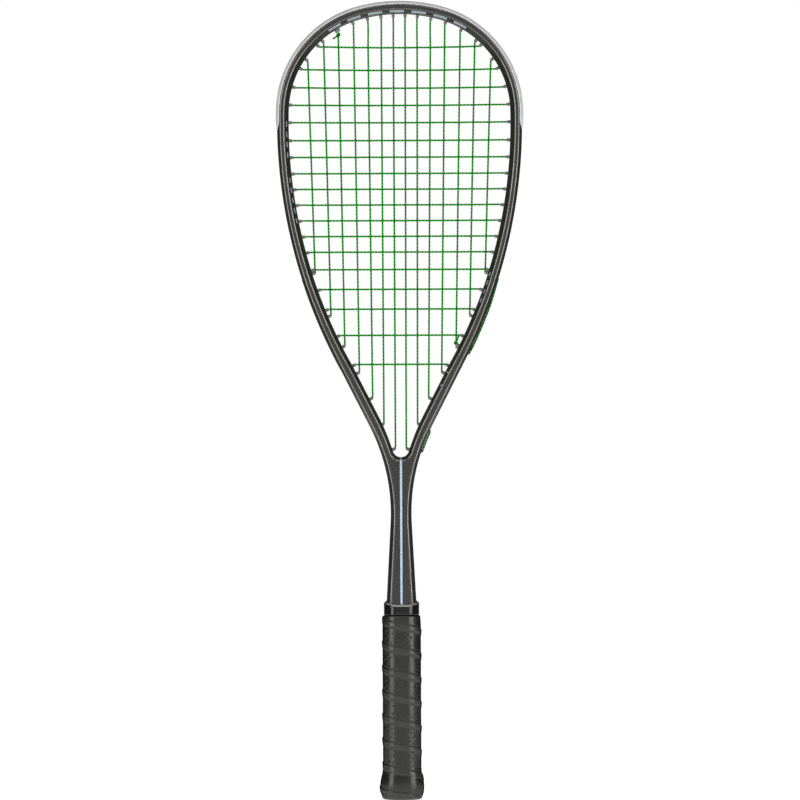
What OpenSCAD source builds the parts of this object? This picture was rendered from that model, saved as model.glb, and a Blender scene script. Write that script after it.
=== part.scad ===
// Squash racket: a carbon hoop and shaft in one moulding, grommet strips and a
// bumper guard, one length of woven string, and a wrapped eight-sided handle.
// Origin at the centre of the butt end, +Z up the shaft to the head, +X to the
// right, the strings in the plane y = 0 and the front face towards -Y.

/* [Head outline] */
// Height of the frame's top edge above the butt end
head_top = 685; // [683:1:687]
// Radius of the outer edge over the top
top_radius = 138.5; // [138:0.5:139]
// Half of the angle that the top arc covers
top_angle = 15; // [14.75:0.25:15.25]
// Radius of the outer edge at the shoulders
shoulder_radius = 93.5; // [93:0.5:94]
// Angle that each shoulder arc covers
shoulder_angle = 73.75; // [73.5:0.25:74]
// Radius of the outer edge down the sides
side_radius = 447; // [443:2:451]
// Angle that each side arc covers
side_angle = 28.25; // [28:0.25:28.5]

/* [Frame tube] */
// Depth of the tube, front to back
tube_d = 18; // [17:0.5:20]
// Width of the tube round the hoop, outer edge to inner edge
hoop_w = 10; // [9.6:0.1:10.4]
// Width of the tube along the throat legs
leg_w = 10.8; // [10.6:0.1:11]
// Width of the tube where the legs join the shaft
flare_w = 10.4; // [10.3:0.1:10.5]
// Wall thickness of the moulded tube
wall = 1.3; // [1.2:0.1:1.5]
// Depth of the string channel in the outer edge
channel_depth = 3; // [2.9:0.1:3.1]
// Width of the string channel
channel_w = 4.6; // [4.4:0.1:4.8]

/* [Throat and shaft] */
// Half width of the shaft at its narrowest
neck_half = 8.9; // [8.8:0.1:9]
// Radius of the hollow curve from the throat leg into the shaft
flare_radius = 165; // [160:1:170]
// Angle at which each side of the shaft opens towards the handle
shaft_taper = 3.1; // [3:0.1:3.2]
// Radius of the rounded bottom of the throat opening
throat_radius = 7; // [6.8:0.1:7.1]

/* [Strings] */
// Diameter of the string
string_d = 1.2; // [1.1:0.05:1.2]
// Distance that a string is pushed off the string plane at each crossing
weave = 0.65; // [0.65:0.01:0.7]
// Outer diameter of a grommet barrel
barrel_d = 2.5; // [2.4:0.1:2.6]
// Distance that a grommet barrel stands inside the frame
barrel_tip = 2.7; // [2.5:0.1:2.9]

/* [Handle] */
// Width of the wrapped grip
grip_w = 33.4; // [33:0.1:34]
// Depth of the wrapped grip, front to back
grip_d = 28.4; // [28:0.1:29]
// Height of the grip's top edge
grip_top = 158.5; // [156:0.5:160]
// Thickness of the grip
grip_t = 2; // [1.8:0.1:2.1]
// Width of the flare at the butt
butt_w = 38.8; // [38.4:0.1:39.2]
// Depth of the flare at the butt
butt_d = 33.6; // [33.2:0.1:34]
// Height of the rubber collar
collar_h = 12; // [10:0.5:13]

/* [Hidden] */
$fn = 180;
glue = 0.05;

// Heights of the cross strings, from the head down
cross_z = [647, 627.5, 612, 597, 582, 566.5, 552, 538, 524.5, 511, 497.5, 484, 470.5,
    455.5, 438.5, 421.5, 399, 374];
// Distances of the main strings from the centre line, at two heights
main_high_z = 620;
main_low_z = 450;
main_high = [5, 15.3, 26.5, 38.6, 51.7, 64.2, 78.1];
main_low = [4.8, 14.8, 25, 36.4, 48.8, 60.4, 73];
// Main strings whose hole also takes a tied end: at the top left and the bottom right
tie_main = 4;
// The barrel of this main at the throat stands in less than the others
short_main = 1;
short_tip = 1.6;

// Outline of the outer edge: headings are measured from the +X direction at the top,
// turning down the side, so 90 is straight down
heading_1 = top_angle;
heading_2 = top_angle + shoulder_angle;
heading_3 = heading_2 + side_angle;
leg_tilt = heading_3 - 90;
function outward(a) = [sin(a), cos(a)];
top_c = [0, head_top - top_radius];
join_1 = top_c + top_radius * outward(heading_1);
shoulder_c = join_1 - shoulder_radius * outward(heading_1);
join_2 = shoulder_c + shoulder_radius * outward(heading_2);
side_c = join_2 - side_radius * outward(heading_2);
join_3 = side_c + side_radius * outward(heading_3);
leg_end_x = neck_half + flare_radius * (1 - cos(leg_tilt));
join_4 = [leg_end_x, join_3[1] - (join_3[0] - leg_end_x) / tan(leg_tilt)];
leg_length = norm(join_3 - join_4);
neck_z = join_4[1] - flare_radius * sin(leg_tilt);
flare_c = [neck_half + flare_radius, neck_z];
channel_end_tilt = 14;

// Handle stack
stem_w = 22;
stem_d = 15;
stem_bottom = 14;
stem_top = 172;
shaft_bottom = 160;
pallet_bottom = 4.6;
pallet_top = 157;
pallet_w = grip_w - 2 * grip_t - 2 * glue;
pallet_d = grip_d - 2 * grip_t - 2 * glue;
cap_wall = 1.3;
cap_top = 28;
cap_rim_top = 3.4;
disc_r = 8;
disc_t = 1.2;
staple_z = 26;
staple_w = 10;
staple_wire = 0.8;
staple_depth = 4;

// Section of the tube: u runs inwards from the outer edge, y to the back
crest_start = 2.4;
crest_end = 5.3;
side_flat = 4;
inner_flat = 3.2;
inner_chamfer = 0.7;
inner_shoulder = 5;
function half_section(w) = [
    [0, side_flat], [crest_start, tube_d / 2], [crest_end, tube_d / 2],
    [w - inner_chamfer, inner_shoulder], [w, inner_flat]];
function mirrored(points) = [for (i = [len(points) - 1 : -1 : 0]) [points[i][0], -points[i][1]]];
function channel_points(sign) = [[0, sign * channel_w / 2], [channel_depth, sign * channel_w / 2]];
function tube_section(w) = concat(
    [channel_points(1)[1], channel_points(1)[0]], half_section(w),
    mirrored(half_section(w)), channel_points(-1));
function solid_section(w) = concat(half_section(w), mirrored(half_section(w)));
// Space inside the tube wall
function half_void(w) = [
    [channel_depth + wall, 3], [crest_start + 1.2, tube_d / 2 - wall],
    [crest_end - 0.6, tube_d / 2 - wall], [w - wall - 0.4, inner_shoulder - 0.9], [w - wall, 2]];
function void_section(w) = concat(half_void(w), mirrored(half_void(w)));
// Bumper guard: a cap over the outer edge with its own string channel
guard_out = 1.1;
guard_groove = 2;
strip_t = 0.6;
strip_w = channel_w - 0.4;
strip_u = channel_depth - strip_t - glue;
function half_guard() = [
    [strip_u, guard_groove], [-guard_out, guard_groove], [-guard_out, 4.3], [1.4, 8.9],
    [1.95, 8.3], [-glue, side_flat + glue], [-glue, strip_w / 2], [strip_u + strip_t, strip_w / 2]];
guard_section = concat(half_guard(), mirrored(half_guard()));
strip_section = [[strip_u, -strip_w / 2], [strip_u + strip_t, -strip_w / 2],
    [strip_u + strip_t, strip_w / 2], [strip_u, strip_w / 2]];

// A spot is a place on the inner edge: [x, z, heading, tube width], and how far its barrel stands
// inside the frame if that isn't barrel_tip
function arc_by_x(c, r, x, up) = [x, c[1] + up * sqrt(r * r - pow(x - c[0], 2))];
function arc_by_z(c, r, z, right) = [c[0] + right * sqrt(r * r - pow(z - c[1], 2)), z];
function heading_on(c, p) = atan2(p[0] - c[0], p[1] - c[1]);
function stand(spot) = len(spot) > 4 ? spot[4] : barrel_tip;
function spot_on(c, p, w) = [p[0], p[1], heading_on(c, p), w];
function flare_spot(p) = [p[0], p[1], 90 + atan2(p[1] - neck_z, flare_c[0] - p[0]), flare_w];
leg_inner_top = join_3 - leg_w * outward(heading_3);
leg_inner_bottom = join_4 - leg_w * outward(heading_3);
function leg_x(z) = leg_inner_top[0] - (leg_inner_top[1] - z) * tan(leg_tilt);
function leg_z(x) = leg_inner_top[1] - (leg_inner_top[0] - x) / tan(leg_tilt);
side_inner_end = side_c + (side_radius - hoop_w) * outward(heading_3);
shoulder_inner_end = shoulder_c + (shoulder_radius - hoop_w) * outward(heading_2);
top_inner_end = top_c + (top_radius - hoop_w) * outward(heading_1);
function top_spot(x) = x < top_inner_end[0]
    ? spot_on(top_c, arc_by_x(top_c, top_radius - hoop_w, x, 1), hoop_w)
    : spot_on(shoulder_c, arc_by_x(shoulder_c, shoulder_radius - hoop_w, x, 1), hoop_w);
function side_spot(z) =
    z > shoulder_inner_end[1]
    ? spot_on(shoulder_c, arc_by_z(shoulder_c, shoulder_radius - hoop_w, z, 1), hoop_w)
    : z > side_inner_end[1]
    ? spot_on(side_c, arc_by_z(side_c, side_radius - hoop_w, z, 1), hoop_w)
    : z > leg_inner_bottom[1]
    ? [leg_x(z), z, heading_3, leg_w]
    : flare_spot(arc_by_z(flare_c, flare_radius + flare_w, z, -1));
function low_spot(x) =
    x > side_inner_end[0]
    ? spot_on(side_c, arc_by_x(side_c, side_radius - hoop_w, x, -1), hoop_w)
    : x > leg_inner_bottom[0]
    ? [x, leg_z(x), heading_3, leg_w]
    : flare_spot(arc_by_x(flare_c, flare_radius + flare_w, x, 1));

// Holes: each barrel stands square to the tube, with its tip on the string's line
function main_x(i, z) = main_low[i]
    + (main_high[i] - main_low[i]) * (z - main_low_z) / (main_high_z - main_low_z);
function top_hole_from(x) = top_spot(x + barrel_tip * sin(top_spot(x)[2]));
function top_hole(i) = top_hole_from(main_x(i, top_spot(main_high[i])[1]));
function low_hole_from(x, stand) = low_spot(x + stand * sin(low_spot(x)[2]));
function low_stand(i) = i == short_main ? short_tip : barrel_tip;
function low_hole(i) = concat(
    low_hole_from(main_x(i, low_spot(main_low[i])[1]), low_stand(i)), [low_stand(i)]);
function cross_hole(j) = side_spot(cross_z[j] + barrel_tip * cos(side_spot(cross_z[j])[2]));
mains = len(main_high);
crosses = len(cross_z);
// A hole for a tied end is wider than the others
hole_clear = 0.1;
tie_barrel_d = 4.1;
string_bore_d = 1.5;
tie_bore_d = 2.8;
// Crosses held by each strip
guard_crosses = [0 : 4];
side_crosses = [5 : 12];
throat_crosses = [13 : 17];

// Places a child at a spot, its +Z along the outward normal from the inner edge
module at_spot(spot, side) {
    translate([side * spot[0], 0, spot[1]]) rotate([0, side * spot[2], 0]) children();
}
module hole_at(spot, side, d) {
    at_spot(spot, side) translate([0, 0, -1]) cylinder(d = d, h = spot[3] + 3, $fn = 24);
}
module barrel_at(spot, side, d) {
    at_spot(spot, side) translate([0, 0, -stand(spot)])
        cylinder(d = d, h = stand(spot) + spot[3] - channel_depth + 0.3, $fn = 24);
}
module bore_at(spot, side, d) {
    at_spot(spot, side) translate([0, 0, -stand(spot) - 1])
        cylinder(d = d, h = stand(spot) + spot[3] + 1, $fn = 24);
}

// Sweeps: arcs and straight lengths of a section laid along the outer edge
module arc_sweep(c, r, from_angle, sweep, points) {
    translate([c[0], 0, c[1]]) rotate([90, 0, 0]) rotate([0, 0, from_angle])
        rotate_extrude(angle = sweep) polygon([for (p = points) [r + p[0], p[1]]]);
}
function inward(points) = [for (p = points) [-p[0], p[1]]];
module hoop_arc(c, r, from_heading, to_heading, points) {
    arc_sweep(c, r, 90 - to_heading, to_heading - from_heading, inward(points));
}
module flare_arc(from_tilt, to_tilt, points) {
    arc_sweep(flare_c, flare_radius, 180 - to_tilt, to_tilt - from_tilt, points);
}
// A straight length from p, running down at a tilt from the vertical
module straight(p, tilt, length, points) {
    translate([p[0], 0, p[1]]) rotate([180, tilt, 0])
        linear_extrude(height = length) polygon(inward(points));
}
module both_sides() {
    children();
    mirror([1, 0, 0]) children();
}
module right_half() {
    intersection() {
        children();
        translate([0, -100, 0]) cube([200, 200, 800]);
    }
}

// Lengths that meet end to end alternate between the full section and one a hair
// smaller, which runs on a little way inside its neighbours
lap_inset = 0.03;
lap_angle = 0.4;
lap = 0.8;
function slim(points) = [for (p = points)
    [p[0] + (p[0] < hoop_w / 2 ? lap_inset : -lap_inset), p[1] - sign(p[1]) * lap_inset]];
module shoulder_arc(points) {
    hoop_arc(shoulder_c, shoulder_radius, heading_1 - lap_angle, heading_2 + lap_angle, slim(points));
}
module leg(points) {
    straight(join_3 + lap * [sin(leg_tilt), cos(leg_tilt)], leg_tilt, leg_length + 2 * lap, slim(points));
}
module hoop_shape(hoop_points, leg_points) {
    hoop_arc(top_c, top_radius, -heading_1, heading_1, hoop_points);
    both_sides() {
        shoulder_arc(hoop_points);
        hoop_arc(side_c, side_radius, heading_2, heading_3, hoop_points);
        leg(leg_points);
    }
}

// Frame: hoop, throat, shaft and the stem inside the handle, in one hollow moulding
shaft_edge = 3;
shaft_reach = 16;
shaft_section = [
    [0, side_flat], [shaft_edge, tube_d / 2], [shaft_reach, tube_d / 2],
    [shaft_reach, -tube_d / 2], [shaft_edge, -tube_d / 2], [0, -side_flat]];
shaft_top = flare_c + flare_radius * [-cos(shaft_taper), -sin(shaft_taper)];
shaft_length = (shaft_top[1] - shaft_bottom) / cos(shaft_taper);
throat_z = neck_z + sqrt(pow(flare_radius + flare_w + throat_radius, 2) - pow(flare_c[0], 2));
web_bottom = neck_z + flare_radius * sin(channel_end_tilt) - 1;
web_step = throat_z - throat_radius - 3;
web_half = 9.6;
web_d = tube_d - 4 * lap_inset;
lip_half = 7.5;
lip_top = throat_z - 0.39 * throat_radius;
lip_d = 13;
groove_w = 2.8;
groove_depth = 0.4;
stem_void_w = 15;
stem_void_d = 11.4;
stem_void_top = 236;
function octagon(w, d, cut_x, cut_y) = [
    [w / 2 - cut_x, -d / 2], [w / 2, -d / 2 + cut_y], [w / 2, d / 2 - cut_y], [w / 2 - cut_x, d / 2],
    [-w / 2 + cut_x, d / 2], [-w / 2, d / 2 - cut_y], [-w / 2, -d / 2 + cut_y], [-w / 2 + cut_x, -d / 2]];
module bar(w, d, cut, bottom, top) {
    translate([0, 0, bottom]) linear_extrude(height = top - bottom) polygon(octagon(w, d, cut, cut));
}
module shaft_half() {
    right_half() {
        union() {
            flare_arc(channel_end_tilt, leg_tilt, tube_section(flare_w));
            flare_arc(-shaft_taper - lap_angle, channel_end_tilt + lap_angle, slim(shaft_section));
            straight(shaft_top, -shaft_taper, shaft_length, shaft_section);
        }
    }
}
module throat_web() {
    difference() {
        union() {
            translate([-web_half, -web_d / 2, web_bottom])
                cube([2 * web_half, web_d, web_step - web_bottom]);
            translate([-lip_half, -lip_d / 2, web_bottom])
                cube([2 * lip_half, lip_d, lip_top - web_bottom]);
        }
        translate([0, 0, throat_z]) rotate([90, 0, 0])
            cylinder(r = throat_radius, h = 2 * tube_d, center = true, $fn = 96);
    }
}
module all_holes() {
    for (side = [-1, 1]) {
        for (i = [0 : mains - 1]) {
            hole_at(top_hole(i), side, hole_d(i == tie_main && side < 0));
            hole_at(low_hole(i), side, hole_d(i == tie_main && side > 0));
        }
        for (j = [0 : crosses - 1]) hole_at(cross_hole(j), side, hole_d(false));
    }
}
function hole_d(tied) = (tied ? tie_barrel_d : barrel_d) + 2 * hole_clear;
function bore_d(tied) = tied ? tie_bore_d : string_bore_d;
function barrel_size(tied) = tied ? tie_barrel_d : barrel_d;
module frame() {
    color([0.13, 0.13, 0.13]) difference() {
        union() {
            hoop_shape(tube_section(hoop_w), tube_section(leg_w));
            both_sides() shaft_half();
            throat_web();
            bar(stem_w, stem_d, 3, stem_bottom, stem_top);
        }
        hoop_shape(void_section(hoop_w), void_section(leg_w));
        bar(stem_void_w, stem_void_d, 3, stem_bottom - 1, stem_void_top);
        for (side = [-1, 1])
            translate([-groove_w / 2, side * tube_d / 2 - groove_depth, shaft_bottom - 1])
                cube([groove_w, 2 * groove_depth, web_step - shaft_bottom]);
        all_holes();
    }
}

// Guards: each is a strip in the channel with its barrels moulded on
guard_end = heading_2 + 2.1;
module bumper_guard() {
    color([0.72, 0.73, 0.73]) difference() {
        union() {
            hoop_arc(top_c, top_radius, -heading_1, heading_1, guard_section);
            both_sides() {
                shoulder_arc(guard_section);
                hoop_arc(side_c, side_radius, heading_2, guard_end, guard_section);
            }
            for (side = [-1, 1]) {
                for (i = [0 : mains - 1])
                    barrel_at(top_hole(i), side, barrel_size(i == tie_main && side < 0));
                for (j = guard_crosses) barrel_at(cross_hole(j), side, barrel_d);
            }
        }
        for (side = [-1, 1]) {
            for (i = [0 : mains - 1]) bore_at(top_hole(i), side, bore_d(i == tie_main && side < 0));
            for (j = guard_crosses) bore_at(cross_hole(j), side, string_bore_d);
        }
    }
}
side_strip_end = cross_hole(side_crosses[2])[2] + 0.7;
module side_grommet_strip(side) {
    color([0.72, 0.73, 0.73]) difference() {
        union() {
            scale_side(side) hoop_arc(side_c, side_radius, guard_end + 0.1, side_strip_end, strip_section);
            for (j = side_crosses) barrel_at(cross_hole(j), side, barrel_d);
        }
        for (j = side_crosses) bore_at(cross_hole(j), side, string_bore_d);
    }
}
module scale_side(side) {
    if (side > 0) children();
    else mirror([1, 0, 0]) children();
}
module throat_grommet_strip(side) {
    color([0.72, 0.73, 0.73]) difference() {
        union() {
            scale_side(side) {
                hoop_arc(side_c, side_radius, side_strip_end + 0.1, heading_3, strip_section);
                leg(strip_section);
                flare_arc(channel_end_tilt + 1, leg_tilt, strip_section);
            }
            for (j = throat_crosses) barrel_at(cross_hole(j), side, barrel_d);
            for (i = [0 : mains - 1])
                barrel_at(low_hole(i), side, barrel_size(i == tie_main && side > 0));
        }
        for (j = throat_crosses) bore_at(cross_hole(j), side, string_bore_d);
        for (i = [0 : mains - 1]) bore_at(low_hole(i), side, bore_d(i == tie_main && side > 0));
    }
}
module side_grommet_strip_left() side_grommet_strip(-1);
module side_grommet_strip_right() side_grommet_strip(1);
module throat_grommet_strip_left() throat_grommet_strip(-1);
module throat_grommet_strip_right() throat_grommet_strip(1);

// String: one length, laced through every hole and woven over and under.
// Mains run in the front lane of the channel, crosses in the back lane, and the
// longer runs to and from the tied ends lie over them.
main_lane = -1.3;
cross_lane = 1.3;
flat_u = strip_u - string_d / 2 - glue;
over_u = 0.25;
proud_u = -0.5;
tie_offset = 0.65;
function at(spot, side, u, y, along) = [
    side * (spot[0] + sin(spot[2]) * (spot[3] - u) + cos(spot[2]) * along),
    y,
    spot[1] + cos(spot[2]) * (spot[3] - u) - sin(spot[2]) * along];
function tip(spot, side, y) = at(spot, side, spot[3] + stand(spot), y, 0);
// Out of a barrel and round into the channel; way is 1 down the side, -1 up it
function leaving(spot, side, way, lane, y, u) = [
    tip(spot, side, y), at(spot, side, 2, y, 0),
    at(spot, side, u < 1 ? u + 0.9 : 1.5, y + (lane - y) / 4, way * 0.75),
    at(spot, side, u, lane, way * 2.8)];
function reversed(list) = [for (i = [len(list) - 1 : -1 : 0]) list[i]];
function entering(spot, side, way, lane, y, u) = reversed(leaving(spot, side, way, lane, y, u));

function top_tip_z(i) = tip(top_hole(i), 1, 0)[2];
function low_tip_z(i) = tip(low_hole(i), 1, 0)[2];
function meets(i, j) = cross_z[j] > low_tip_z(i) + 2 && cross_z[j] < top_tip_z(i) - 2;
function column(i, side) = side < 0 ? mains - 1 - i : mains + i;
function over(i, side, j) = (column(i, side) + j) % 2 == 0 ? 1 : -1;
function main_rising(i, side) = [for (j = [crosses - 1 : -1 : 0]) if (meets(i, j))
    [side * main_x(i, cross_z[j]), over(i, side, j) * weave, cross_z[j]]];
function cross_half(j, side) = [for (i = [0 : mains - 1]) if (meets(i, j))
    [side * main_x(i, cross_z[j]), -over(i, side, j) * weave, cross_z[j]]];
function cross_rightwards(j) = concat(reversed(cross_half(j, -1)), cross_half(j, 1));

function low_y(i, side) = i == tie_main && side > 0 ? -tie_offset : 0;
function top_y(i, side) = i == tie_main && side < 0 ? tie_offset : 0;
// Loop round the frame between two mains at the bottom or the top, outer one first
function middle_z(a, b) = (a[1] + b[1]) / 2;
function low_loop(i, side, u) = concat(
    leaving(low_hole(i), side, 1, main_lane, low_y(i, side), u),
    [at(side_spot(middle_z(low_hole(i), low_hole(i - 1))), side, u, main_lane, 0)],
    entering(low_hole(i - 1), side, -1, main_lane, low_y(i - 1, side), u));
function top_loop(i, side) = concat(
    leaving(top_hole(i), side, -1, main_lane, top_y(i, side), flat_u),
    [at(top_spot((top_hole(i)[0] + top_hole(i - 1)[0]) / 2), side, flat_u, main_lane, 0)],
    entering(top_hole(i - 1), side, 1, main_lane, top_y(i - 1, side), flat_u));
function cross_loop(j, side) = concat(
    leaving(cross_hole(j), side, -1, cross_lane, 0, flat_u),
    [at(side_spot(middle_z(cross_hole(j), cross_hole(j - 1))), side, flat_u, cross_lane, 0)],
    entering(cross_hole(j - 1), side, 1, cross_lane, 0, flat_u));

// The knots: turns round the neighbouring main string, then a short tail
knot_r = 1.3;
knot_pitch = 1.4;
knot_steps = 12;
function knot(spot, side, y, down, start) = [for (k = [0 : knot_steps]) [
    tip(spot, side, 0)[0] + knot_r * cos(start + 45 * k),
    y + knot_r * sin(start + 45 * k),
    tip(spot, side, 0)[2] - down * (1.3 + knot_pitch * k / 8)]];
low_knot = reversed(knot(low_hole(tie_main), 1, -tie_offset, -1, 90));
top_knot = knot(top_hole(tie_main), -1, tie_offset, 1, 270);
low_tail = [low_knot[0] + [3.5, 0.4, 7], low_knot[0] + [1.6, 0.6, 2.5]];
top_tail = [top_knot[knot_steps] + [-1.6, -0.6, -2], top_knot[knot_steps] + [-4.5, -0.4, -5.5]];

last = mains - 1;
right_run_z = [392, 406, 421, 436];
left_run_z = [434, 418, 402, 386];
low_cross = cross_hole(crosses - 1);
right_mains = concat(
    low_tail, low_knot,
    leaving(low_hole(tie_main), 1, -1, 0, tie_offset, proud_u),
    [for (z = right_run_z) at(side_spot(z), 1, proud_u, 0, 0)],
    entering(low_hole(last), 1, 1, 0, 0, proud_u),
    main_rising(6, 1), top_loop(6, 1), reversed(main_rising(5, 1)), low_loop(5, 1, flat_u),
    main_rising(4, 1), top_loop(4, 1), reversed(main_rising(3, 1)), low_loop(3, 1, flat_u),
    main_rising(2, 1), top_loop(2, 1), reversed(main_rising(1, 1)), low_loop(1, 1, proud_u),
    main_rising(0, 1));
crown_loop = concat(
    leaving(top_hole(0), 1, -1, main_lane, 0, flat_u),
    entering(top_hole(0), -1, -1, main_lane, 0, flat_u));
left_mains = concat(
    reversed(main_rising(0, -1)), reversed(low_loop(1, -1, flat_u)),
    main_rising(1, -1), reversed(top_loop(2, -1)), reversed(main_rising(2, -1)),
    reversed(low_loop(3, -1, flat_u)), main_rising(3, -1), reversed(top_loop(4, -1)),
    reversed(main_rising(4, -1)), reversed(low_loop(5, -1, flat_u)),
    main_rising(5, -1), reversed(top_loop(6, -1)), reversed(main_rising(6, -1)));
run_to_crosses = concat(
    leaving(low_hole(last), -1, 1, 0, 0, over_u),
    [for (z = left_run_z) at(side_spot(z), -1, over_u, 0, 0)],
    entering(low_cross, -1, -1, 0, 0, over_u));
function flat(lists) = [for (list = lists) for (p = list) p];
all_crosses = flat([for (j = [crosses - 1 : -1 : 0])
    let (rightwards = (crosses - 1 - j) % 2 == 0)
    concat(
        rightwards ? cross_rightwards(j) : reversed(cross_rightwards(j)),
        j > 0 ? cross_loop(j, rightwards ? 1 : -1) : [])]);
top_run = concat(
    leaving(cross_hole(0), -1, -1, 0, 0, over_u),
    [for (x = [68, 62]) at(top_spot(x), -1, over_u, 0, 0)],
    entering(top_hole(tie_main), -1, 1, 0, -tie_offset, over_u),
    top_knot, top_tail);
string_route = concat(right_mains, crown_loop, left_mains, run_to_crosses, all_crosses, top_run);

sides = 6;
function unit(v) = v / norm(v);
function tangent(path, i) =
    i == 0 ? unit(path[1] - path[0])
    : i == len(path) - 1 ? unit(path[i] - path[i - 1])
    : unit(unit(path[i + 1] - path[i]) + unit(path[i] - path[i - 1]));
function carried(n, t) = unit(n - (n * t) * t);
module tube_along(path, r) {
    count = len(path);
    tangents = [for (i = [0 : count - 1]) tangent(path, i)];
    normals = [for (i = 0, n = carried([0, 1, 0.3], tangents[0]); i < count;
        i = i + 1, n = i < count ? carried(n, tangents[i]) : n) n];
    points = [for (i = [0 : count - 1]) for (k = [0 : sides - 1])
        path[i] + r * (cos(k * 360 / sides) * normals[i]
            + sin(k * 360 / sides) * cross(tangents[i], normals[i]))];
    skin = [for (i = [0 : count - 2]) for (k = [0 : sides - 1])
        let (a = i * sides + k, b = i * sides + (k + 1) % sides)
        each [[a, a + sides, b + sides], [a, b + sides, b]]];
    polyhedron(concat(
        points), concat(
        [[for (k = [0 : sides - 1]) k]], skin,
        [[for (k = [sides - 1 : -1 : 0]) (count - 1) * sides + k]]));
}
module string() {
    color([0.08, 0.55, 0.13]) tube_along(string_route, string_d / 2);
}

// Handle: two foam halves round the stem, a cap over their lower end, the wrap
// over all of it, and a rubber collar over the tape at the wrap's top edge
cut_x = 0.275;
cut_y = 0.29;
module eight_sided(w, d, bottom, top) {
    translate([0, 0, bottom]) linear_extrude(height = top - bottom)
        polygon(octagon(w, d, w * cut_x, d * cut_y));
}
module slab(w, d, z) {
    eight_sided(w, d, z, z + 0.01);
}
module staple(clear) {
    translate([-staple_w / 2 - clear, -pallet_d / 2 - clear, staple_z - clear])
        cube([staple_w + 2 * clear, staple_wire + 2 * clear, staple_wire + 2 * clear]);
    for (x = [-staple_w / 2, staple_w / 2 - staple_wire])
        translate([x - clear, -pallet_d / 2, staple_z - clear])
            cube([staple_wire + 2 * clear, staple_depth + clear, staple_wire + 2 * clear]);
}
module staple_set(clear) {
    staple(clear);
    rotate([0, 0, 180]) staple(clear);
    translate([(pallet_w - pallet_d) / 2, 0, 0]) rotate([0, 0, 90]) staple(clear);
}
module staples() {
    color([0.7, 0.7, 0.72]) staple_set(0);
}
module pallet(side) {
    color([0.32, 0.3, 0.28]) difference() {
        union() {
            eight_sided(pallet_w, pallet_d, cap_top + glue, pallet_top);
            eight_sided(pallet_w - 2 * cap_wall - 2 * glue, pallet_d - 2 * cap_wall - 2 * glue,
                pallet_bottom, cap_top + glue);
        }
        bar(stem_w + 2 * glue, stem_d + 2 * glue, 3, stem_bottom - glue, pallet_top + 1);
        translate([-pallet_w, side > 0 ? -pallet_d - glue : -glue, 0])
            cube([2 * pallet_w, pallet_d + 2 * glue, pallet_top + 10]);
        staple_set(glue);
    }
}
module pallet_front() pallet(-1);
module pallet_back() pallet(1);
module stem_plug() {
    color([0.75, 0.72, 0.6])
        bar(stem_void_w - 2 * glue, stem_void_d - 2 * glue, 3, stem_bottom + 0.5, stem_bottom + 14);
}

// The flare under the wrap, and over it: widths at four heights
flare_z = [cap_rim_top + 0.1, 10, 16, 24];
function flare_w_at(w) = [w - 2.8, w, w - 0.4, grip_w];
module flare_body(inset) {
    widths = flare_w_at(butt_w);
    depths = [butt_d - 2.8, butt_d, butt_d - 0.4, grip_d];
    for (i = [0 : 2]) hull() {
        slab(widths[i] - 2 * inset, depths[i] - 2 * inset, flare_z[i]);
        slab(widths[i + 1] - 2 * inset, depths[i + 1] - 2 * inset, flare_z[i + 1]);
    }
}
module butt_cap() {
    color([0.1, 0.1, 0.1]) difference() {
        union() {
            hull() {
                slab(butt_w - 3, butt_d - 3, cap_rim_top - 0.01);
                slab(butt_w - 12, butt_d - 12, 0);
            }
            flare_body(grip_t + glue);
            eight_sided(butt_w - 8, butt_d - 8, cap_rim_top - 1, flare_z[0] + 1);
            eight_sided(pallet_w, pallet_d, flare_z[3] - 1, cap_top);
        }
        eight_sided(pallet_w - 2 * cap_wall, pallet_d - 2 * cap_wall,
            pallet_bottom - glue, cap_top + 1);
        translate([0, 0, -1]) cylinder(r = disc_r + glue, h = 1 + disc_t + glue);
        staple_set(glue);
    }
}
module butt_end_disc() {
    color([0.16, 0.16, 0.16]) cylinder(r = disc_r, h = disc_t);
}
module grip() {
    color([0.24, 0.24, 0.23]) difference() {
        union() {
            flare_body(0);
            eight_sided(grip_w, grip_d, flare_z[3], grip_top);
        }
        flare_body(grip_t);
        eight_sided(pallet_w + 2 * glue, pallet_d + 2 * glue, flare_z[3] - 1, grip_top + 1);
        eight_sided(butt_w - 8.4, butt_d - 8.4, 0, flare_z[0] + 1);
    }
}
shaft_w = 26.7;
shaft_d = 18.3;
tape_t = 0.4;
collar_w = 30.3;
collar_d = 24.6;
collar_cut = 5.6;
module ring(w, d, t, bottom, top) {
    difference() {
        bar(w + 2 * t, d + 2 * t, 3.4, bottom, top);
        bar(w, d, 3, bottom - 1, top + 1);
    }
}
module finishing_tape() {
    color([0.06, 0.06, 0.06]) ring(shaft_w, shaft_d, tape_t, grip_top + glue, grip_top + 8);
}
module rubber_collar() {
    bore_w = shaft_w + 2 * tape_t + 2 * glue;
    bore_d = shaft_d + 2 * tape_t + 2 * glue;
    color([0.05, 0.05, 0.05]) difference() {
        translate([0, 0, grip_top + glue]) linear_extrude(height = collar_h - glue)
            polygon(octagon(collar_w, collar_d, collar_cut, collar_cut));
        bar(bore_w, bore_d, 3.4, grip_top, grip_top + collar_h + 1);
    }
}

frame();
bumper_guard();
side_grommet_strip_left();
side_grommet_strip_right();
throat_grommet_strip_left();
throat_grommet_strip_right();
string();
pallet_front();
pallet_back();
stem_plug();
butt_cap();
butt_end_disc();
staples();
grip();
finishing_tape();
rubber_collar();
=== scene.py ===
"""Squash racket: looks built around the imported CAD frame. Lengths are in mm, except in the studio."""

import math

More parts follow.
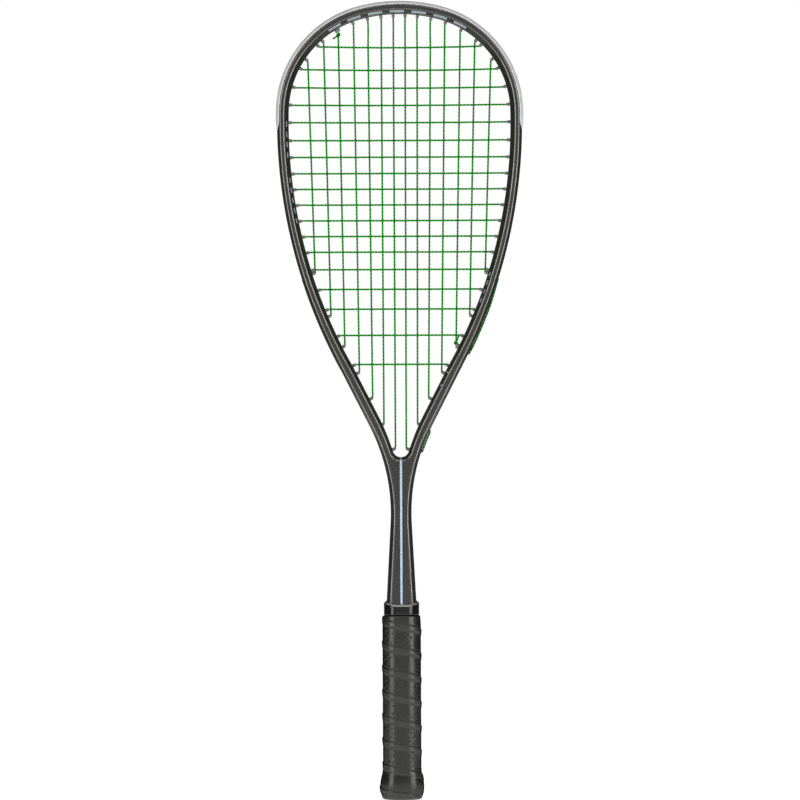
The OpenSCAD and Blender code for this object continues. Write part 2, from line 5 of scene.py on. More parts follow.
import bmesh
import bpy
import numpy as np
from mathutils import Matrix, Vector


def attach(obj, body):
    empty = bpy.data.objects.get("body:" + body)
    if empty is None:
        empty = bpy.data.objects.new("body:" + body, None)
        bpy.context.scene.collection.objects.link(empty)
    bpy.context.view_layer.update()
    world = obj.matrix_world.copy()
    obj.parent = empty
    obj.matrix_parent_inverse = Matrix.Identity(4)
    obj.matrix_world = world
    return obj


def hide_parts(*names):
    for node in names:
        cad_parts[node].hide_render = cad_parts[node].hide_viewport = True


MM = 0.001
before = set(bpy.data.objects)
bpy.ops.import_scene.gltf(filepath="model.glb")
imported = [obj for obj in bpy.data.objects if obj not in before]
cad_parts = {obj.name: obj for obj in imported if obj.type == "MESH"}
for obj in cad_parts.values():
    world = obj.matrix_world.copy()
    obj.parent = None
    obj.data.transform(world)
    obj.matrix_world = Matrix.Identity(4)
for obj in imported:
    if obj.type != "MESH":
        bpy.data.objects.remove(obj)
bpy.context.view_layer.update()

# ---- outline and sizes, as in the CAD source except for FULLNESS and WEAVE
HEAD_TOP, R_TOP, A_TOP = 685.0, 138.5, 15.0
R_SHOULDER, A_SHOULDER = 93.5, 73.75
R_SIDE, A_SIDE = 447.0, 28.25
DEPTH_HALF = 9.0
HOOP_W, LEG_W, FLARE_W = 10.0, 10.8, 10.4
CHANNEL_DEPTH, CHANNEL_HALF = 3.0, 2.3
NECK_HALF, FLARE_R, TAPER, THROAT_R = 8.9, 165.0, 3.1, 7.0
SHAFT_BOTTOM = 160.0
STRING_D, FULLNESS, WEAVE = 1.2, 1.3, 0.80
BARREL_D, BARREL_TIP = 2.5, 2.7
TIE_BARREL_D = 4.1
SIDE_FLAT = 4.0
INNER_FLAT, INNER_CHAMFER, INNER_SHOULDER = 3.2, 0.7, 5.0


rad = math.radians


def sind(a):
    return math.sin(rad(a))


def cosd(a):
    return math.cos(rad(a))


def angle(y, x):
    return math.degrees(math.atan2(y, x))


def outward(a):
    return np.array([sind(a), cosd(a)])


H1 = A_TOP
H2 = H1 + A_SHOULDER
H3 = H2 + A_SIDE
LEG_TILT = H3 - 90
TOP_C = np.array([0.0, HEAD_TOP - R_TOP])
J1 = TOP_C + R_TOP * outward(H1)
SHOULDER_C = J1 - R_SHOULDER * outward(H1)
J2 = SHOULDER_C + R_SHOULDER * outward(H2)
SIDE_C = J2 - R_SIDE * outward(H2)
J3 = SIDE_C + R_SIDE * outward(H3)
LEG_END_X = NECK_HALF + FLARE_R * (1 - cosd(LEG_TILT))
J4 = np.array([LEG_END_X, J3[1] - (J3[0] - LEG_END_X) / math.tan(rad(LEG_TILT))])
NECK_Z = J4[1] - FLARE_R * sind(LEG_TILT)
FLARE_C = np.array([NECK_HALF + FLARE_R, NECK_Z])
THROAT_Z = NECK_Z + math.sqrt((FLARE_R + FLARE_W + THROAT_R) ** 2 - FLARE_C[0] ** 2)
THROAT_C = np.array([0.0, THROAT_Z])
SHAFT_TOP = FLARE_C + FLARE_R * np.array([-cosd(TAPER), -sind(TAPER)])

L_TOP = R_TOP * rad(A_TOP)
L_SHOULDER = R_SHOULDER * rad(A_SHOULDER)
L_SIDE = R_SIDE * rad(A_SIDE)
L_LEG = float(np.linalg.norm(J3 - J4))
S2 = L_TOP + L_SHOULDER
S3 = S2 + L_SIDE
S4 = S3 + L_LEG


def station(s):
    """Outer edge point and outward normal at arc length s from the crown, down the right side."""
    if s <= L_TOP:
        a = math.degrees(s / R_TOP)
        return TOP_C + R_TOP * outward(a), outward(a)
    if s <= S2:
        a = H1 + math.degrees((s - L_TOP) / R_SHOULDER)
        return SHOULDER_C + R_SHOULDER * outward(a), outward(a)
    if s <= S3:
        a = H2 + math.degrees((s - S2) / R_SIDE)
        return SIDE_C + R_SIDE * outward(a), outward(a)
    if s <= S4:
        down = np.array([-sind(LEG_TILT), -cosd(LEG_TILT)])
        return J3 + (s - S3) * down, outward(H3)
    return flare_station(LEG_TILT - math.degrees((s - S4) / FLARE_R))


def flare_station(tilt):
    away = np.array([-cosd(tilt), sind(tilt)])
    return FLARE_C + FLARE_R * away, -away


def s_of_tilt(tilt):
    return S4 + FLARE_R * rad(LEG_TILT - tilt)


# ---- mesh helpers
def add_object(name, data):
    obj = bpy.data.objects.new(name, data)
    bpy.context.scene.collection.objects.link(obj)
    return obj


def make_mesh(name, verts, faces, material, smooth=35.0, uvs=None, attrs=None):
    """A mesh object from points in mm. uvs is one (u, v) for each face corner."""
    mesh = bpy.data.meshes.new(name)
    mesh.from_pydata((np.asarray(verts, float) * MM).tolist(), [], [list(map(int, f)) for f in faces])
    if uvs is not None:
        layer = mesh.uv_layers.new(name="UVMap")
        layer.data.foreach_set("uv", np.asarray(uvs, np.float32).ravel())
    for key, values in (attrs or {}).items():
        attribute = mesh.attributes.new(key, "FLOAT", "POINT")
        attribute.data.foreach_set("value", np.asarray(values, np.float32))
    bm = bmesh.new()
    bm.from_mesh(mesh)
    loose = [v for v in bm.verts if not v.link_faces]
    bmesh.ops.delete(bm, geom=loose, context="VERTS")
    bmesh.ops.recalc_face_normals(bm, faces=bm.faces)
    bm.to_mesh(mesh)
    bm.free()
    for polygon in mesh.polygons:
        polygon.use_smooth = True
    mesh.set_sharp_from_angle(angle=rad(smooth))
    mesh.materials.append(material)
    obj = add_object(name, mesh)
    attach(obj, "root")
    return obj


def grid_faces(rows, cols):
    """Faces of a tube of rows rings, each with cols points."""
    return [(i * cols + j, i * cols + (j + 1) % cols, (i + 1) * cols + (j + 1) % cols, (i + 1) * cols + j)
            for i in range(rows - 1) for j in range(cols)]


def sleeve_faces(rows, cols):
    """Faces of a tube whose last ring is joined back to its first, as on a sleeve."""
    last = (rows - 1) * cols
    closing = [(last + j, last + (j + 1) % cols, (j + 1) % cols, j) for j in range(cols)]
    return grid_faces(rows, cols) + closing


def loft(rings):
    """Verts and faces of a tube through rings of equal length, closed at both ends."""
    cols = len(rings[0])
    faces = grid_faces(len(rings), cols)
    faces.append(tuple(range(cols - 1, -1, -1)))
    faces.append(tuple(range((len(rings) - 1) * cols, len(rings) * cols)))
    return np.vstack(rings), faces


def at_height(ring, z):
    return np.column_stack([ring, np.full(len(ring), z)])


def join_parts(parts):
    """One mesh of several parts. The barrel attribute is 1 on every part after the first."""
    verts, faces, marks, at = [], [], [], 0
    for k, (v, f) in enumerate(parts):
        verts.append(v)
        faces += [tuple(at + q for q in face) for face in f]
        marks += [float(k > 0)] * len(v)
        at += len(v)
    return np.vstack(verts), faces, {"barrel": marks}


def smoothstep(a, b, x):
    t = np.clip((x - a) / (b - a), 0, 1)
    return t * t * (3 - 2 * t)


def soft_min(values, k):
    stacked = np.stack(values)
    low = stacked.min(0)
    return low - k * np.log(np.exp(-(stacked - low) / k).sum(0))


# ---- node material helpers
class Nodes:
    """A short way to write shader nodes."""

    def __init__(self, name):
        self.material = bpy.data.materials.new(name)
        self.material.use_nodes = True
        self.tree = self.material.node_tree
        self.shader = self.tree.nodes["Principled BSDF"]

    def add(self, kind, inputs=None, **settings):
        node = self.tree.nodes.new(kind)
        for key, value in settings.items():
            setattr(node, key, value)
        for key, value in (inputs or {}).items():
            self.set(node.inputs[key], value)
        return node

    def set(self, socket, value):
        if isinstance(value, bpy.types.NodeSocket):
            self.tree.links.new(value, socket)
        elif socket.type == "RGBA":
            socket.default_value = (*value[:3], 1.0)
        else:
            socket.default_value = value

    def math(self, operation, a, b=0.0, clamp=False):
        node = self.add("ShaderNodeMath", operation=operation, use_clamp=clamp)
        self.set(node.inputs[0], a)
        self.set(node.inputs[1], b)
        return node.outputs[0]

    def times(self, a, b, clamp=False):
        return self.math("MULTIPLY", a, b, clamp)

    def plus(self, a, b):
        return self.math("ADD", a, b)

    def ramp(self, value, low, high, to_low=0.0, to_high=1.0):
        node = self.add("ShaderNodeMapRange", {"From Min": low, "From Max": high,
                                               "To Min": to_low, "To Max": to_high})
        self.set(node.inputs["Value"], value)
        return node.outputs["Result"]

    def mix(self, factor, a, b):
        node = self.add("ShaderNodeMix", data_type="RGBA")
        self.set(node.inputs[0], factor)
        self.set(node.inputs[6], a)
        self.set(node.inputs[7], b)
        return node.outputs[2]

    def noise(self, scale, detail=3.0, rough=0.55, vector=None):
        node = self.add("ShaderNodeTexNoise", {"Scale": scale, "Detail": detail, "Roughness": rough})
        self.set(node.inputs["Vector"], vector or self.position())
        return node.outputs["Fac"]

    def position(self):
        return self.add("ShaderNodeTexCoord").outputs["Object"]

    def uv(self):
        uv = self.add("ShaderNodeUVMap", uv_map="UVMap").outputs[0]
        split = self.add("ShaderNodeSeparateXYZ", {"Vector": uv})
        return split.outputs[0], split.outputs[1]

    def attribute(self, name):
        return self.add("ShaderNodeAttribute", attribute_name=name).outputs["Fac"]

    def bump(self, height, strength, distance, normal=None):
        node = self.add("ShaderNodeBump", {"Strength": strength, "Distance": distance})
        self.set(node.inputs["Height"], height)
        if normal is not None:
            self.set(node.inputs["Normal"], normal)
        return node.outputs["Normal"]

    def out(self, **inputs):
        for key, value in inputs.items():
            self.set(self.shader.inputs[key.replace("_", " ")], value)
        return self.material


def carbon_material():
    n = Nodes("carbon_clear_coat")
    u, v = n.uv()
    tow = n.times(n.plus(u, v), 1.1)
    tow_b = n.times(n.math("SUBTRACT", u, v), 1.1)
    weave = n.ramp(n.times(n.math("SINE", tow), n.math("SINE", tow_b)), -1.0, 1.0)
    cloud = n.noise(45.0, 4.0)
    fine = n.noise(900.0, 2.0)
    # Painted highlight: the edge attribute mixes the carbon to a light grey in thin lines along the crest
    # edges, broken up by noise. These lines stand in for the strip lights' reflection on the rounded edges.
    edge = n.attribute("edge")
    dark = n.mix(weave, (0.0085, 0.0080, 0.0070), (0.0135, 0.0125, 0.0105))
    body = n.mix(n.ramp(cloud, 0.3, 0.75), dark, (0.0150, 0.0138, 0.0112))
    edge_highlight = n.times(edge, n.ramp(n.noise(160.0, 4.0), 0.35, 0.7, 0.55, 1.0), True)
    colour = n.mix(edge_highlight, body, (0.30, 0.28, 0.25))
    rough = n.plus(n.ramp(fine, 0.2, 0.8, 0.24, 0.31), n.times(edge, -0.05))
    normal = n.bump(weave, 0.05, 0.0002)
    normal = n.bump(fine, 0.04, 0.0001, normal)
    return n.out(Base_Color=colour, Roughness=rough, Normal=normal, Coat_Weight=0.35,
                 Coat_Roughness=0.14, Specular_IOR_Level=0.6)


def nylon_material(name, base, dark, rough):
    n = Nodes(name)
    cloud = n.noise(120.0, 4.0)
    scuff = n.noise(700.0, 5.0, 0.7)
    colour = n.mix(n.ramp(cloud, 0.35, 0.7), base, dark)
    colour = n.mix(n.times(n.ramp(scuff, 0.55, 0.8), 0.35), colour,
                   tuple(0.6 * c for c in dark))
    smoky = n.mix(n.ramp(cloud, 0.3, 0.7), (0.21, 0.205, 0.200), (0.14, 0.136, 0.132))
    colour = n.mix(n.attribute("barrel"), colour, smoky)
    normal = n.bump(scuff, 0.12, 0.0001)
    return n.out(Base_Color=colour, Roughness=n.ramp(scuff, 0.3, 0.8, rough - 0.06, rough + 0.12),
                 Normal=normal, Subsurface_Weight=0.25, Subsurface_Radius=(0.0012, 0.0012, 0.0011),
                 Subsurface_Scale=1.0, Specular_IOR_Level=0.45)


def string_material():
    n = Nodes("green_string")
    around, along = n.uv()
    stretched = n.add("ShaderNodeCombineXYZ", {"X": n.times(around, 3.0),
                                               "Y": n.times(along, 0.5)}).outputs[0]
    wobble = n.noise(1.7, 3.0, 0.6, stretched)
    turn = n.plus(n.times(along, 1 / 3.1), around)
    turn = n.math("FRACT", n.plus(turn, n.times(wobble, 0.22)))
    fleck = n.times(n.ramp(turn, 0.0, 0.05), n.ramp(turn, 0.42, 0.34))
    fibre = n.math("SINE", n.plus(n.times(around, 75.0), n.times(along, 2.4)))
    fibre = n.ramp(fibre, -1.0, 1.0)
    green = n.mix(fibre, (0.0005, 0.30, 0.003), (0.002, 0.46, 0.008))
    green = n.mix(n.ramp(n.noise(0.35, 2.0, 0.5, stretched), 0.35, 0.7), green, (0.0005, 0.20, 0.002))
    colour = n.mix(n.times(fleck, n.ramp(wobble, 0.3, 0.55, 0.6, 1.0)), green,
                   (0.002, 0.012, 0.003))
    normal = n.bump(fibre, 0.2, 0.00003)
    return n.out(Base_Color=colour, Roughness=n.ramp(fibre, 0.0, 1.0, 0.42, 0.34), Normal=normal,
                 Specular_IOR_Level=0.04)


def wrap_material():
    n = Nodes("perforated_wrap")
    pores = n.add("ShaderNodeTexVoronoi", {"Scale": 2100.0, "Vector": n.position()})
    grain = n.ramp(pores.outputs["Distance"], 0.0, 0.7)
    cloud = n.noise(70.0, 4.0)
    fine = n.noise(2600.0, 3.0, 0.6)
    hollow = n.attribute("hollow")
    raised = n.attribute("raised")
    body = n.mix(n.ramp(cloud, 0.3, 0.75), (0.0070, 0.0069, 0.0058), (0.0110, 0.0107, 0.0090))
    # Painted highlight: the raised band below each seam is lighter
    body = n.mix(n.times(raised, 0.5), body, (0.027, 0.0265, 0.0230))
    body = n.mix(n.ramp(grain, 0.0, 0.5, 0.35, 0.0), body, (0.008, 0.008, 0.0075))
    # Painted shade: the colour goes near black in the perforation pits and along the seam creases
    colour = n.mix(hollow, body, grey(0.0015))
    height = n.plus(n.times(grain, 0.7), n.times(fine, 0.5))
    normal = n.bump(height, 0.16, 0.0001)
    rough = n.plus(n.ramp(cloud, 0.3, 0.7, 0.28, 0.35), n.times(hollow, 0.5))
    facing = n.add("ShaderNodeLayerWeight").outputs["Facing"]
    return n.out(Base_Color=colour, Roughness=rough, Normal=normal,
                 Specular_IOR_Level=n.ramp(facing, 0.24, 0.60, 0.50, 0.0))


def grey(level):
    return (level, level, level)


def plain_material(name, base, other, rough, scale, coat=0.0, metallic=0.0, grain=0.1, gloss=0.5, lip=None):
    n = Nodes(name)
    cloud = n.noise(scale, 4.0)
    fine = n.noise(scale * 9, 3.0, 0.6)
    colour = n.mix(n.ramp(cloud, 0.3, 0.72), base, other)
    # Painted highlight: a light grey band where the lip attribute is set, standing in for the reflection on a
    # glossy lip
    if lip:
        colour = n.mix(n.attribute("lip"), colour, lip)
    normal = n.bump(fine, grain, 0.0001)
    return n.out(Base_Color=colour, Roughness=n.ramp(fine, 0.25, 0.75, rough - 0.05, rough + 0.07),
                 Normal=normal, Coat_Weight=coat, Coat_Roughness=0.08, Metallic=metallic,
                 Specular_IOR_Level=gloss)


CARBON = carbon_material()
GUARD = nylon_material("guard_nylon", (0.64, 0.65, 0.65), (0.54, 0.55, 0.55), 0.38)
GROMMET = nylon_material("grommet_nylon", (0.40, 0.39, 0.385), (0.30, 0.29, 0.285), 0.38)
STRING = string_material()
WRAP = wrap_material()
RUBBER = plain_material("collar_gloss_rubber", grey(0.003), grey(0.006), 0.16, 90.0, gloss=0.4,
                        lip=(0.30, 0.28, 0.27))
STRIPE = plain_material("stripe_gloss_paint", (0.30, 0.43, 0.54), (0.36, 0.49, 0.60), 0.22, 60.0, 0.6)
MARKS = plain_material("mark_satin_paint", (0.24, 0.30, 0.32), (0.32, 0.38, 0.40), 0.35, 200.0)
CAP = plain_material("butt_moulded_plastic", grey(0.012), (0.022, 0.022, 0.021), 0.5, 180.0, grain=0.3)
DISC = plain_material("disc_moulded_plastic", grey(0.022), (0.032, 0.032, 0.031), 0.42, 260.0, grain=0.25)
STEEL = plain_material("staple_wire", (0.55, 0.55, 0.56), (0.42, 0.42, 0.43), 0.28, 900.0, metallic=1.0)
FOAM = plain_material("pallet_foam", (0.07, 0.066, 0.06), (0.10, 0.095, 0.085), 0.8, 400.0, grain=0.5)
PLUG = plain_material("plug_open_foam", (0.42, 0.37, 0.25), (0.55, 0.49, 0.36), 0.9, 700.0, grain=0.8)
TAPE = plain_material("black_vinyl_tape", grey(0.010), grey(0.016), 0.3, 300.0)

# ---- frame: hoop, throat and shaft
CREST_S = [0, S2, S3, S4, s_of_tilt(0), s_of_tilt(-TAPER), 1000]
CREST_U = [2.5, 2.6, 2.5, 2.5, 3.0, 3.2, 4.3]
WIDTH_S = [0, S2 + 0.7 * L_SIDE, S3, S3 + 15, S4 - 5, s_of_tilt(20)]
WIDTH_U = [HOOP_W, HOOP_W, 10.4, LEG_W, LEG_W, FLARE_W]
BEVEL_S = [0, S2, S2 + 0.5 * L_SIDE, S3, S4, s_of_tilt(17)]
BEVEL_U = [4.1, 4.0, 3.8, 3.3, 3.1, 2.8]
ROUNDING = 0.36
# Width, shift and fade-in along the outline of the painted highlight lines on the crest edges
EDGE_HIGHLIGHT_WIDTH, EDGE_HIGHLIGHT_SHIFT, EDGE_HIGHLIGHT_FROM, EDGE_HIGHLIGHT_TO = 0.36, 0.15, 45, 130
CREST_DOME = 0.12
U_BOTTOM = THROAT_Z - THROAT_R
FLARE_TILT_U = angle(THROAT_Z - NECK_Z, FLARE_C[0])
GROOVE_HALF, GROOVE_DEPTH, GROOVE_TOP = 1.25, 0.35, U_BOTTOM - 3.3
CHANNEL_END_TILT = 14.0
INNER_FACE = [-1.6, 0.0, 1.6]
HOOP_ROWS, THROAT_ROWS, SHAFT_ROWS, FINE_STEP, LONG_STEP = 205, 15, 34, 0.22, 2.5
RIM_FADE, RIM_SHARP = U_BOTTOM - 4.5, U_BOTTOM - 0.5
UV_SEAM, UV_LEFT = 0.7, 3.0
# Distances of the profile's last points from the line x = 0, beside the stripe's groove
GROOVE_D = np.array([1.9, 1.65, 1.48, 1.32, 1.15, 0.9, 0.75, 0.6, 0.45, 0.33, 0.22, 0.11, 0.0])


def side_rows():
    """Rows across the right half: outer point, outward normal, width, arc length, ends on x = 0 or not."""
    rows = []
    for s in np.linspace(0, s_of_tilt(FLARE_TILT_U), HOOP_ROWS):
        p, n = station(s)
        rows.append((p, n, float(np.interp(s, WIDTH_S, WIDTH_U)), s, False))
    for phi in np.linspace(-FLARE_TILT_U, -90, THROAT_ROWS)[1:]:
        q = THROAT_C + THROAT_R * np.array([cosd(phi), sind(phi)])
        away = q - FLARE_C
        tilt = angle(away[1], -away[0])
        p, n = flare_station(tilt)
        rows.append((p, n, float(np.linalg.norm(away)) - FLARE_R, s_of_tilt(tilt), False))
    z = U_BOTTOM
    step = FINE_STEP
    while True:
        z -= step
        step = step if z > GROOVE_TOP - 1.2 else min(LONG_STEP, step * 1.25)
        tilt = angle(z - NECK_Z, FLARE_C[0])
        if tilt <= -TAPER:
            break
        p, n = flare_station(tilt)
        rows.append((p, n, FLARE_C[0] / cosd(tilt) - FLARE_R, s_of_tilt(tilt), True))
    down = np.array([sind(TAPER), -cosd(TAPER)])
    n = np.array([cosd(TAPER), sind(TAPER)])
    length = (SHAFT_TOP[1] - SHAFT_BOTTOM) / cosd(TAPER)
    for t in np.linspace(0, length, SHAFT_ROWS):
        p = SHAFT_TOP + t * down
        rows.append((p, n, p[0] / n[0], s_of_tilt(-TAPER) + t, True))
    return rows


def profile(d, points):
    """A line through points, carried on past its last one."""
    xs, ys = zip(*points)
    slope = (ys[-1] - ys[-2]) / (xs[-1] - xs[-2])
    return np.where(d > xs[-1], ys[-1] + (d - xs[-1]) * slope, np.interp(d, xs, ys))


def build_frame():
    rows = side_rows()
    verts, uvs_at, edge_highlight_at = [], [], []
    for p, n, w, s, ends in rows:
        cs = float(np.interp(s, CREST_S, CREST_U))
        b = float(np.interp(s, BEVEL_S, BEVEL_U))
        near_rim = smoothstep(RIM_FADE, RIM_SHARP, (p - n * w)[1]) if ends else 1.0
        # The points of the profile are crowded at both crests and at the edges
        head = [0, 0.12, 0.4, 1.1, cs - 0.55, cs - 0.25, cs - 0.05, cs + 0.15, cs + 0.4, cs + 0.7]
        rim = np.array([b + 0.7, b + 0.4, b + 0.15, b - 0.05, b - 0.25, b - 0.55,
                        b * 0.62, b * 0.45, 0.95, 0.7, 0.45, 0.12, 0.0])
        tail = w - (near_rim * rim + (1 - near_rim) * GROOVE_D)
        middle = np.linspace(head[-1], tail[0], 5)[1:-1]
        u = np.concatenate([head, middle, tail])
        xz = p[None, :] - u[:, None] * n[None, :]
        if s >= s_of_tilt(FLARE_TILT_U):
            d_in = np.hypot(xz[:, 0] - THROAT_C[0], xz[:, 1] - THROAT_C[1]) - THROAT_R
        else:
            d_in = w - u
        g_out = profile(u, [(0, SIDE_FLAT), (cs, DEPTH_HALF)])
        g_in = inner_height(d_in, b)
        from_middle = np.clip((u - 0.5 * (cs + w - b)) / (0.5 * (w - b - cs)), -1, 1)
        dome = np.full(len(u), DEPTH_HALF) if ends else DEPTH_HALF - CREST_DOME * from_middle ** 2
        y = np.minimum(soft_min([g_out, g_in, dome], ROUNDING), DEPTH_HALF)
        if ends:
            y = y - GROOVE_DEPTH * smoothstep(GROOVE_HALF + 0.12, GROOVE_HALF - 0.12, np.abs(xz[:, 0])) \
                * smoothstep(GROOVE_TOP + 0.4, GROOVE_TOP - 0.4, xz[:, 1])
        # Painted highlight: a band on each crest edge, fainter round the crown, stored as the edge attribute
        edge_highlight = np.maximum(np.exp(-((u - cs - EDGE_HIGHLIGHT_SHIFT) / EDGE_HIGHLIGHT_WIDTH) ** 2),
                          np.exp(-((d_in - b - EDGE_HIGHLIGHT_SHIFT) / EDGE_HIGHLIGHT_WIDTH) ** 2))
        edge_highlight = edge_highlight * (0.3 + 0.7 * smoothstep(EDGE_HIGHLIGHT_FROM, EDGE_HIGHLIGHT_TO, s))
        dep = CHANNEL_DEPTH
        if s > S4:
            tilt_now = LEG_TILT - math.degrees((s - S4) / FLARE_R)
            dep *= smoothstep(CHANNEL_END_TILT - 0.6, CHANNEL_END_TILT + 0.6, tilt_now)
        dep = max(dep, 0.04)
        outer = [(0, 3.3), (0, CHANNEL_HALF + 0.12), (0.1 * dep, CHANNEL_HALF), (0.9 * dep, CHANNEL_HALF),
                 (dep, CHANNEL_HALF - 0.2), (dep, 0)]
        outer = outer + [(a, -c) for a, c in reversed(outer[:-1])]
        section = [(a, -c) for a, c in zip(u, y)] + [(w, c) for c in INNER_FACE] \
            + [(a, c) for a, c in zip(u[::-1], y[::-1])] + outer
        edge_highlights = list(edge_highlight) + [0.0] * len(INNER_FACE) + list(edge_highlight[::-1]) + [0.0] * len(outer)
        run = 0.0
        last = section[0]
        for a, c in section:
            x, z = p - a * n
            verts.append((x, c, z))
            run += math.hypot(a - last[0], c - last[1])
            last = (a, c)
            uvs_at.append((s, run))
        edge_highlight_at += edge_highlights
    cols = len(section)
    count = len(rows)
    verts = np.array(verts)
    front = len(u)
    inner_from, inner_to = front - 1, front + len(INNER_FACE)
    verts[:cols, 0] = 0.0
    for i, row in enumerate(rows):
        ends_here = row[4] or (i > 0 and i + 1 < count and rows[i + 1][4])
        if ends_here:
            verts[i * cols + np.arange(inner_from, inner_to + 1), 0] = 0.0
    total = len(verts)
    left = np.where(np.abs(verts[:, 0]) < 1e-9, np.arange(total), np.arange(total) + total)
    faces, corner_uvs = [], []
    uvs_at = np.array(uvs_at)

    def add_pair(face, uv):
        """A face of the right half and its mirror image in the left half."""
        faces.append(face)
        faces.append([left[q] for q in reversed(face)])
        corner_uvs.extend(uv)
        corner_uvs.extend([np.array([-c[0] - UV_LEFT, c[1]]) for c in reversed(uv)])

    for i in range(count - 1):
        solid = rows[i][4] or rows[i + 1][4]
        for j in range(cols):
            k = (j + 1) % cols
            if solid and inner_from <= j < inner_to:
                continue
            quad = (i * cols + j, i * cols + k, (i + 1) * cols + k, (i + 1) * cols + j)
            uv = [uvs_at[q].copy() for q in quad]
            if k == 0:
                uv[1][1] = uv[0][1] + UV_SEAM
                uv[2][1] = uv[3][1] + UV_SEAM
            add_pair(quad, uv)
    base = (count - 1) * cols
    ring = [base + j for j in range(cols) if not inner_from < j < inner_to]
    add_pair(tuple(ring), [uvs_at[q] for q in ring])
    both = np.vstack([verts, verts * np.array([-1, 1, 1])])
    edges = {"edge": edge_highlight_at + edge_highlight_at}
    obj = make_mesh("carbon_frame", both, faces, CARBON, 30.0, corner_uvs, edges)
    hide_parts("frame")


# ---- holes, as in the CAD source
CROSS_Z = [647, 627.5, 612, 597, 582, 566.5, 552, 538, 524.5, 511, 497.5, 484, 470.5, 455.5, 438.5,
           421.5, 399, 374]
MAIN_HIGH_Z, MAIN_LOW_Z = 620, 450
MAIN_HIGH = [5, 15.3, 26.5, 38.6, 51.7, 64.2, 78.1]
MAIN_LOW = [4.8, 14.8, 25, 36.4, 48.8, 60.4, 73]
SHORT_MAIN, SHORT_TIP = 1, 1.6
TIE_MAIN = 4
MAINS, CROSSES = len(MAIN_HIGH), len(CROSS_Z)
LEG_IN_TOP = J3 - LEG_W * outward(H3)
LEG_IN_BOTTOM = J4 - LEG_W * outward(H3)
SIDE_IN_END = SIDE_C + (R_SIDE - HOOP_W) * outward(H3)
SHOULDER_IN_END = SHOULDER_C + (R_SHOULDER - HOOP_W) * outward(H2)
TOP_IN_END = TOP_C + (R_TOP - HOOP_W) * outward(H1)


def arc_by_x(c, r, x, up):
    return (x, c[1] + up * math.sqrt(r * r - (x - c[0]) ** 2))


def arc_by_z(c, r, z, right):
    return (c[0] + right * math.sqrt(r * r - (z - c[1]) ** 2), z)


def hoop_spot(c, r, arc, value, sign):
    """Place, heading and width where the inner face of the hoop's arc of radius r is at value."""
    p = arc(c, r - HOOP_W, value, sign)
    return (p[0], p[1], angle(p[0] - c[0], p[1] - c[1]), HOOP_W)


def flare_spot(p):
    return (p[0], p[1], 90 + angle(p[1] - NECK_Z, FLARE_C[0] - p[0]), FLARE_W)


def top_spot(x):
    if x < TOP_IN_END[0]:
        return hoop_spot(TOP_C, R_TOP, arc_by_x, x, 1)
    return hoop_spot(SHOULDER_C, R_SHOULDER, arc_by_x, x, 1)


def side_spot(z):
    if z > SHOULDER_IN_END[1]:
        return hoop_spot(SHOULDER_C, R_SHOULDER, arc_by_z, z, 1)
    if z > SIDE_IN_END[1]:
        return hoop_spot(SIDE_C, R_SIDE, arc_by_z, z, 1)
    if z > LEG_IN_BOTTOM[1]:
        return (LEG_IN_TOP[0] - (LEG_IN_TOP[1] - z) * math.tan(rad(LEG_TILT)), z, H3, LEG_W)
    return flare_spot(arc_by_z(FLARE_C, FLARE_R + FLARE_W, z, -1))


def low_spot(x):
    if x > SIDE_IN_END[0]:
        return hoop_spot(SIDE_C, R_SIDE, arc_by_x, x, -1)
    if x > LEG_IN_BOTTOM[0]:
        return (x, LEG_IN_TOP[1] - (LEG_IN_TOP[0] - x) / math.tan(rad(LEG_TILT)), H3, LEG_W)
    return flare_spot(arc_by_x(FLARE_C, FLARE_R + FLARE_W, x, 1))


def main_x(i, z):
    return MAIN_LOW[i] + (MAIN_HIGH[i] - MAIN_LOW[i]) * (z - MAIN_LOW_Z) / (MAIN_HIGH_Z - MAIN_LOW_Z)


def top_hole(i):
    x = main_x(i, top_spot(MAIN_HIGH[i])[1])
    return top_spot(x + BARREL_TIP * sind(top_spot(x)[2]))


def low_hole(i):
    x = main_x(i, low_spot(MAIN_LOW[i])[1])
    length = SHORT_TIP if i == SHORT_MAIN else BARREL_TIP
    return (*low_spot(x + length * sind(low_spot(x)[2])), length)


def stand(spot):
    """How far the spot's barrel stands inside the frame."""
    return spot[4] if len(spot) > 4 else BARREL_TIP


def cross_hole(j):
    return side_spot(CROSS_Z[j] + BARREL_TIP * cosd(side_spot(CROSS_Z[j])[2]))


def at(spot, side, u, y, along):
    """The point at depth u from the outer edge over the spot, moved along the outline."""
    x, z, heading, width = spot[:4]
    out = width - u
    return np.array([side * (x + sind(heading) * out + cosd(heading) * along), y,
                     z + cosd(heading) * out - sind(heading) * along])


def tip(spot, side, y):
    return at(spot, side, spot[3] + stand(spot), y, 0)


# ---- grommets and bumper guard
STRIP_T = 0.6
STRIP_U = CHANNEL_DEPTH - STRIP_T - 0.05
STRIP_HALF = 2.1
GUARD_OUT, GUARD_GROOVE = 1.1, 2.0
BORE, WIDE_BORE = 0.86, 1.45
STRIP_GAP, STRIP_PAST_HOLE, GUARD_STEP, BARREL_SIDES = 0.8, 0.7, 2.2, 18
GUARD_END = H2 + 2.1


